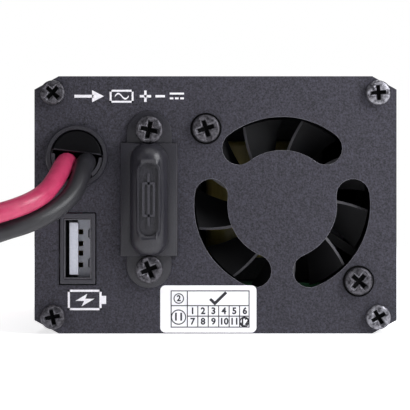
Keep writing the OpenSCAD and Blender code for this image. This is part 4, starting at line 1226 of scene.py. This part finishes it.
# %% Put both clamps together
for hue, vinyl, slot in (("red", red_vinyl, "red_grip"), ("black", black_vinyl, "black_grip")):
    pivot = middle(f"{hue}_clamp_pin")
    jaw_body = f"{hue}_clamp_jaw"
    fixed_jaw = refined(f"{hue}_clamp_fixed_jaw", f"{hue}_fixed_jaw", 0.14, 2)
    dress(fixed_jaw, copper_plate, "clamp_copper", f"{hue}_clamp_fixed_jaw")
    moving_jaw = refined(f"{hue}_clamp_moving_jaw", f"{hue}_moving_jaw", 0.14, 2)
    dress(moving_jaw, copper_plate, "clamp_copper", f"{hue}_clamp_moving_jaw", body=jaw_body)
    fixed_grip = twin(moving, f"{hue}_fixed_grip")
    edit(fixed_grip)
    bpy.ops.transform.resize(value=(1, -1, 1), center_override=(0, 0, 0))
    bpy.ops.mesh.normals_make_consistent(inside=False)
    deselect()
    dress(place(fixed_grip, pivot, (0, 0, 90)), vinyl, slot, f"{hue}_clamp_fixed_grip")
    moving_grip = twin(moving, f"{hue}_moving_grip")
    dress(place(moving_grip, pivot, (0, 0, 90)), vinyl, slot, f"{hue}_clamp_moving_grip", body=jaw_body)
    rivet = twin(pin, f"{hue}_clamp_rivet")
    dress(place(rivet, pivot, (0, 0, 90)), bright_steel, "steel", f"{hue}_clamp_pin")
    coil = place(twin(spring, f"{hue}_torsion_spring"), pivot, (0, 0, 90))
    coil.data.materials.append(spring_steel)
    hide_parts(f"{hue}_clamp_spring")
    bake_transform(coil)
discard(moving, pin, spring)

for hue, piece, start in (("red", red_wire, red_start), ("black", black_wire, black_start)):
    side, _, height = start[0]

# %% [markdown]
# ## Inside the case
# The parts on the board show only through the slots of the fan and the vents, but the yellow transformer is
# the first thing that the eye finds behind the fan. Its winding is wrapped in tape, so it gets soft edges.
# The other parts keep their CAD shapes and get the finish of what they are. Two wires of different colours
# can be one CAD node, so their material looks at the place: one side of a line is one colour, and the other
# side is the other.


# %% Finish of the inner parts
def coat(node, surface):
    """Gives a CAD node that stays a material."""
    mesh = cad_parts[node].data
    mesh.materials.clear()
    mesh.materials.append(surface)


def two_wires(name, split, first, second):
    """PVC of one colour on the low side of a plane of X, and another on its high side."""
    made, tree, shader = material(name, first, 0.4)
    place_of = add(tree, "TexCoord")
    apart = add(tree, "SeparateXYZ", links={"Vector": (place_of, "Object")})
    side = add(tree, "Math", {"operation": "GREATER_THAN", 1: split}, {0: (apart, "X")})
    noise = add(tree, "TexNoise", {"Scale": 500}, {"Vector": (place_of, "Object")})
    colour = add(tree, "Mix", {"data_type": "RGBA"}, {0: (side, "Value")})
    colour.inputs[6].default_value, colour.inputs[7].default_value = linear(first), linear(second)
    tree.links.new(colour.outputs[2], shader.inputs["Base Color"])
    bump = add(tree, "Bump", {"Strength": 0.08, "Distance": 0.1 * mm}, {"Height": (noise, "Fac")})
    tree.links.new(bump.outputs["Normal"], shader.inputs["Normal"])
    return made


winding = refined("transformer_winding", "taped_winding", 1.2, 4)
dress(winding, yellow_tape, "yellow_tape", "transformer_winding")
core = refined("transformer_core", "transformer_core", 0.5, 2)
dress(core, ferrite, "ferrite", "transformer_core")
input_pvc = two_wires("soft_pvc_red_and_black", gland.x, "#b8304e", "#2a2930")
output_pvc = two_wires("soft_pvc_black_and_white", mains.x, "#2a2930", "#dcdce0")
coats = ((solder_mask, ("usb_board", "main_board")), (moulded_nylon, ("fuse_holder",)),
         (orange_plastic, ("blade_fuse",)), (ferrite, ("fan_magnet",)),
         (bright_steel, ("fuse_blades", "fan_shaft", "switch_terminals")),
         (contact_brass, ("fan_bearing", "outlet_contacts")), (copper_wire, ("fan_stator", "filter_choke")),
         (blue_sleeve, ("input_capacitors",)), (black_sleeve, ("bulk_capacitor",)),
         (epoxy, ("transistors", "control_chips")), (milled_aluminium, ("transistor_clamps",)),
         (input_pvc, ("dc_input_wires",)), (output_pvc, ("ac_output_wires",)))
for surface, nodes in coats:
    for node in nodes:
        coat(node, surface)
coated = [node for surface, nodes in coats for node in nodes]
kept = [name for name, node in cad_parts.items() if not node.hide_render]
print("CAD nodes that stay:", len(kept), "without a finish:", sorted(set(kept) - set(coated)))
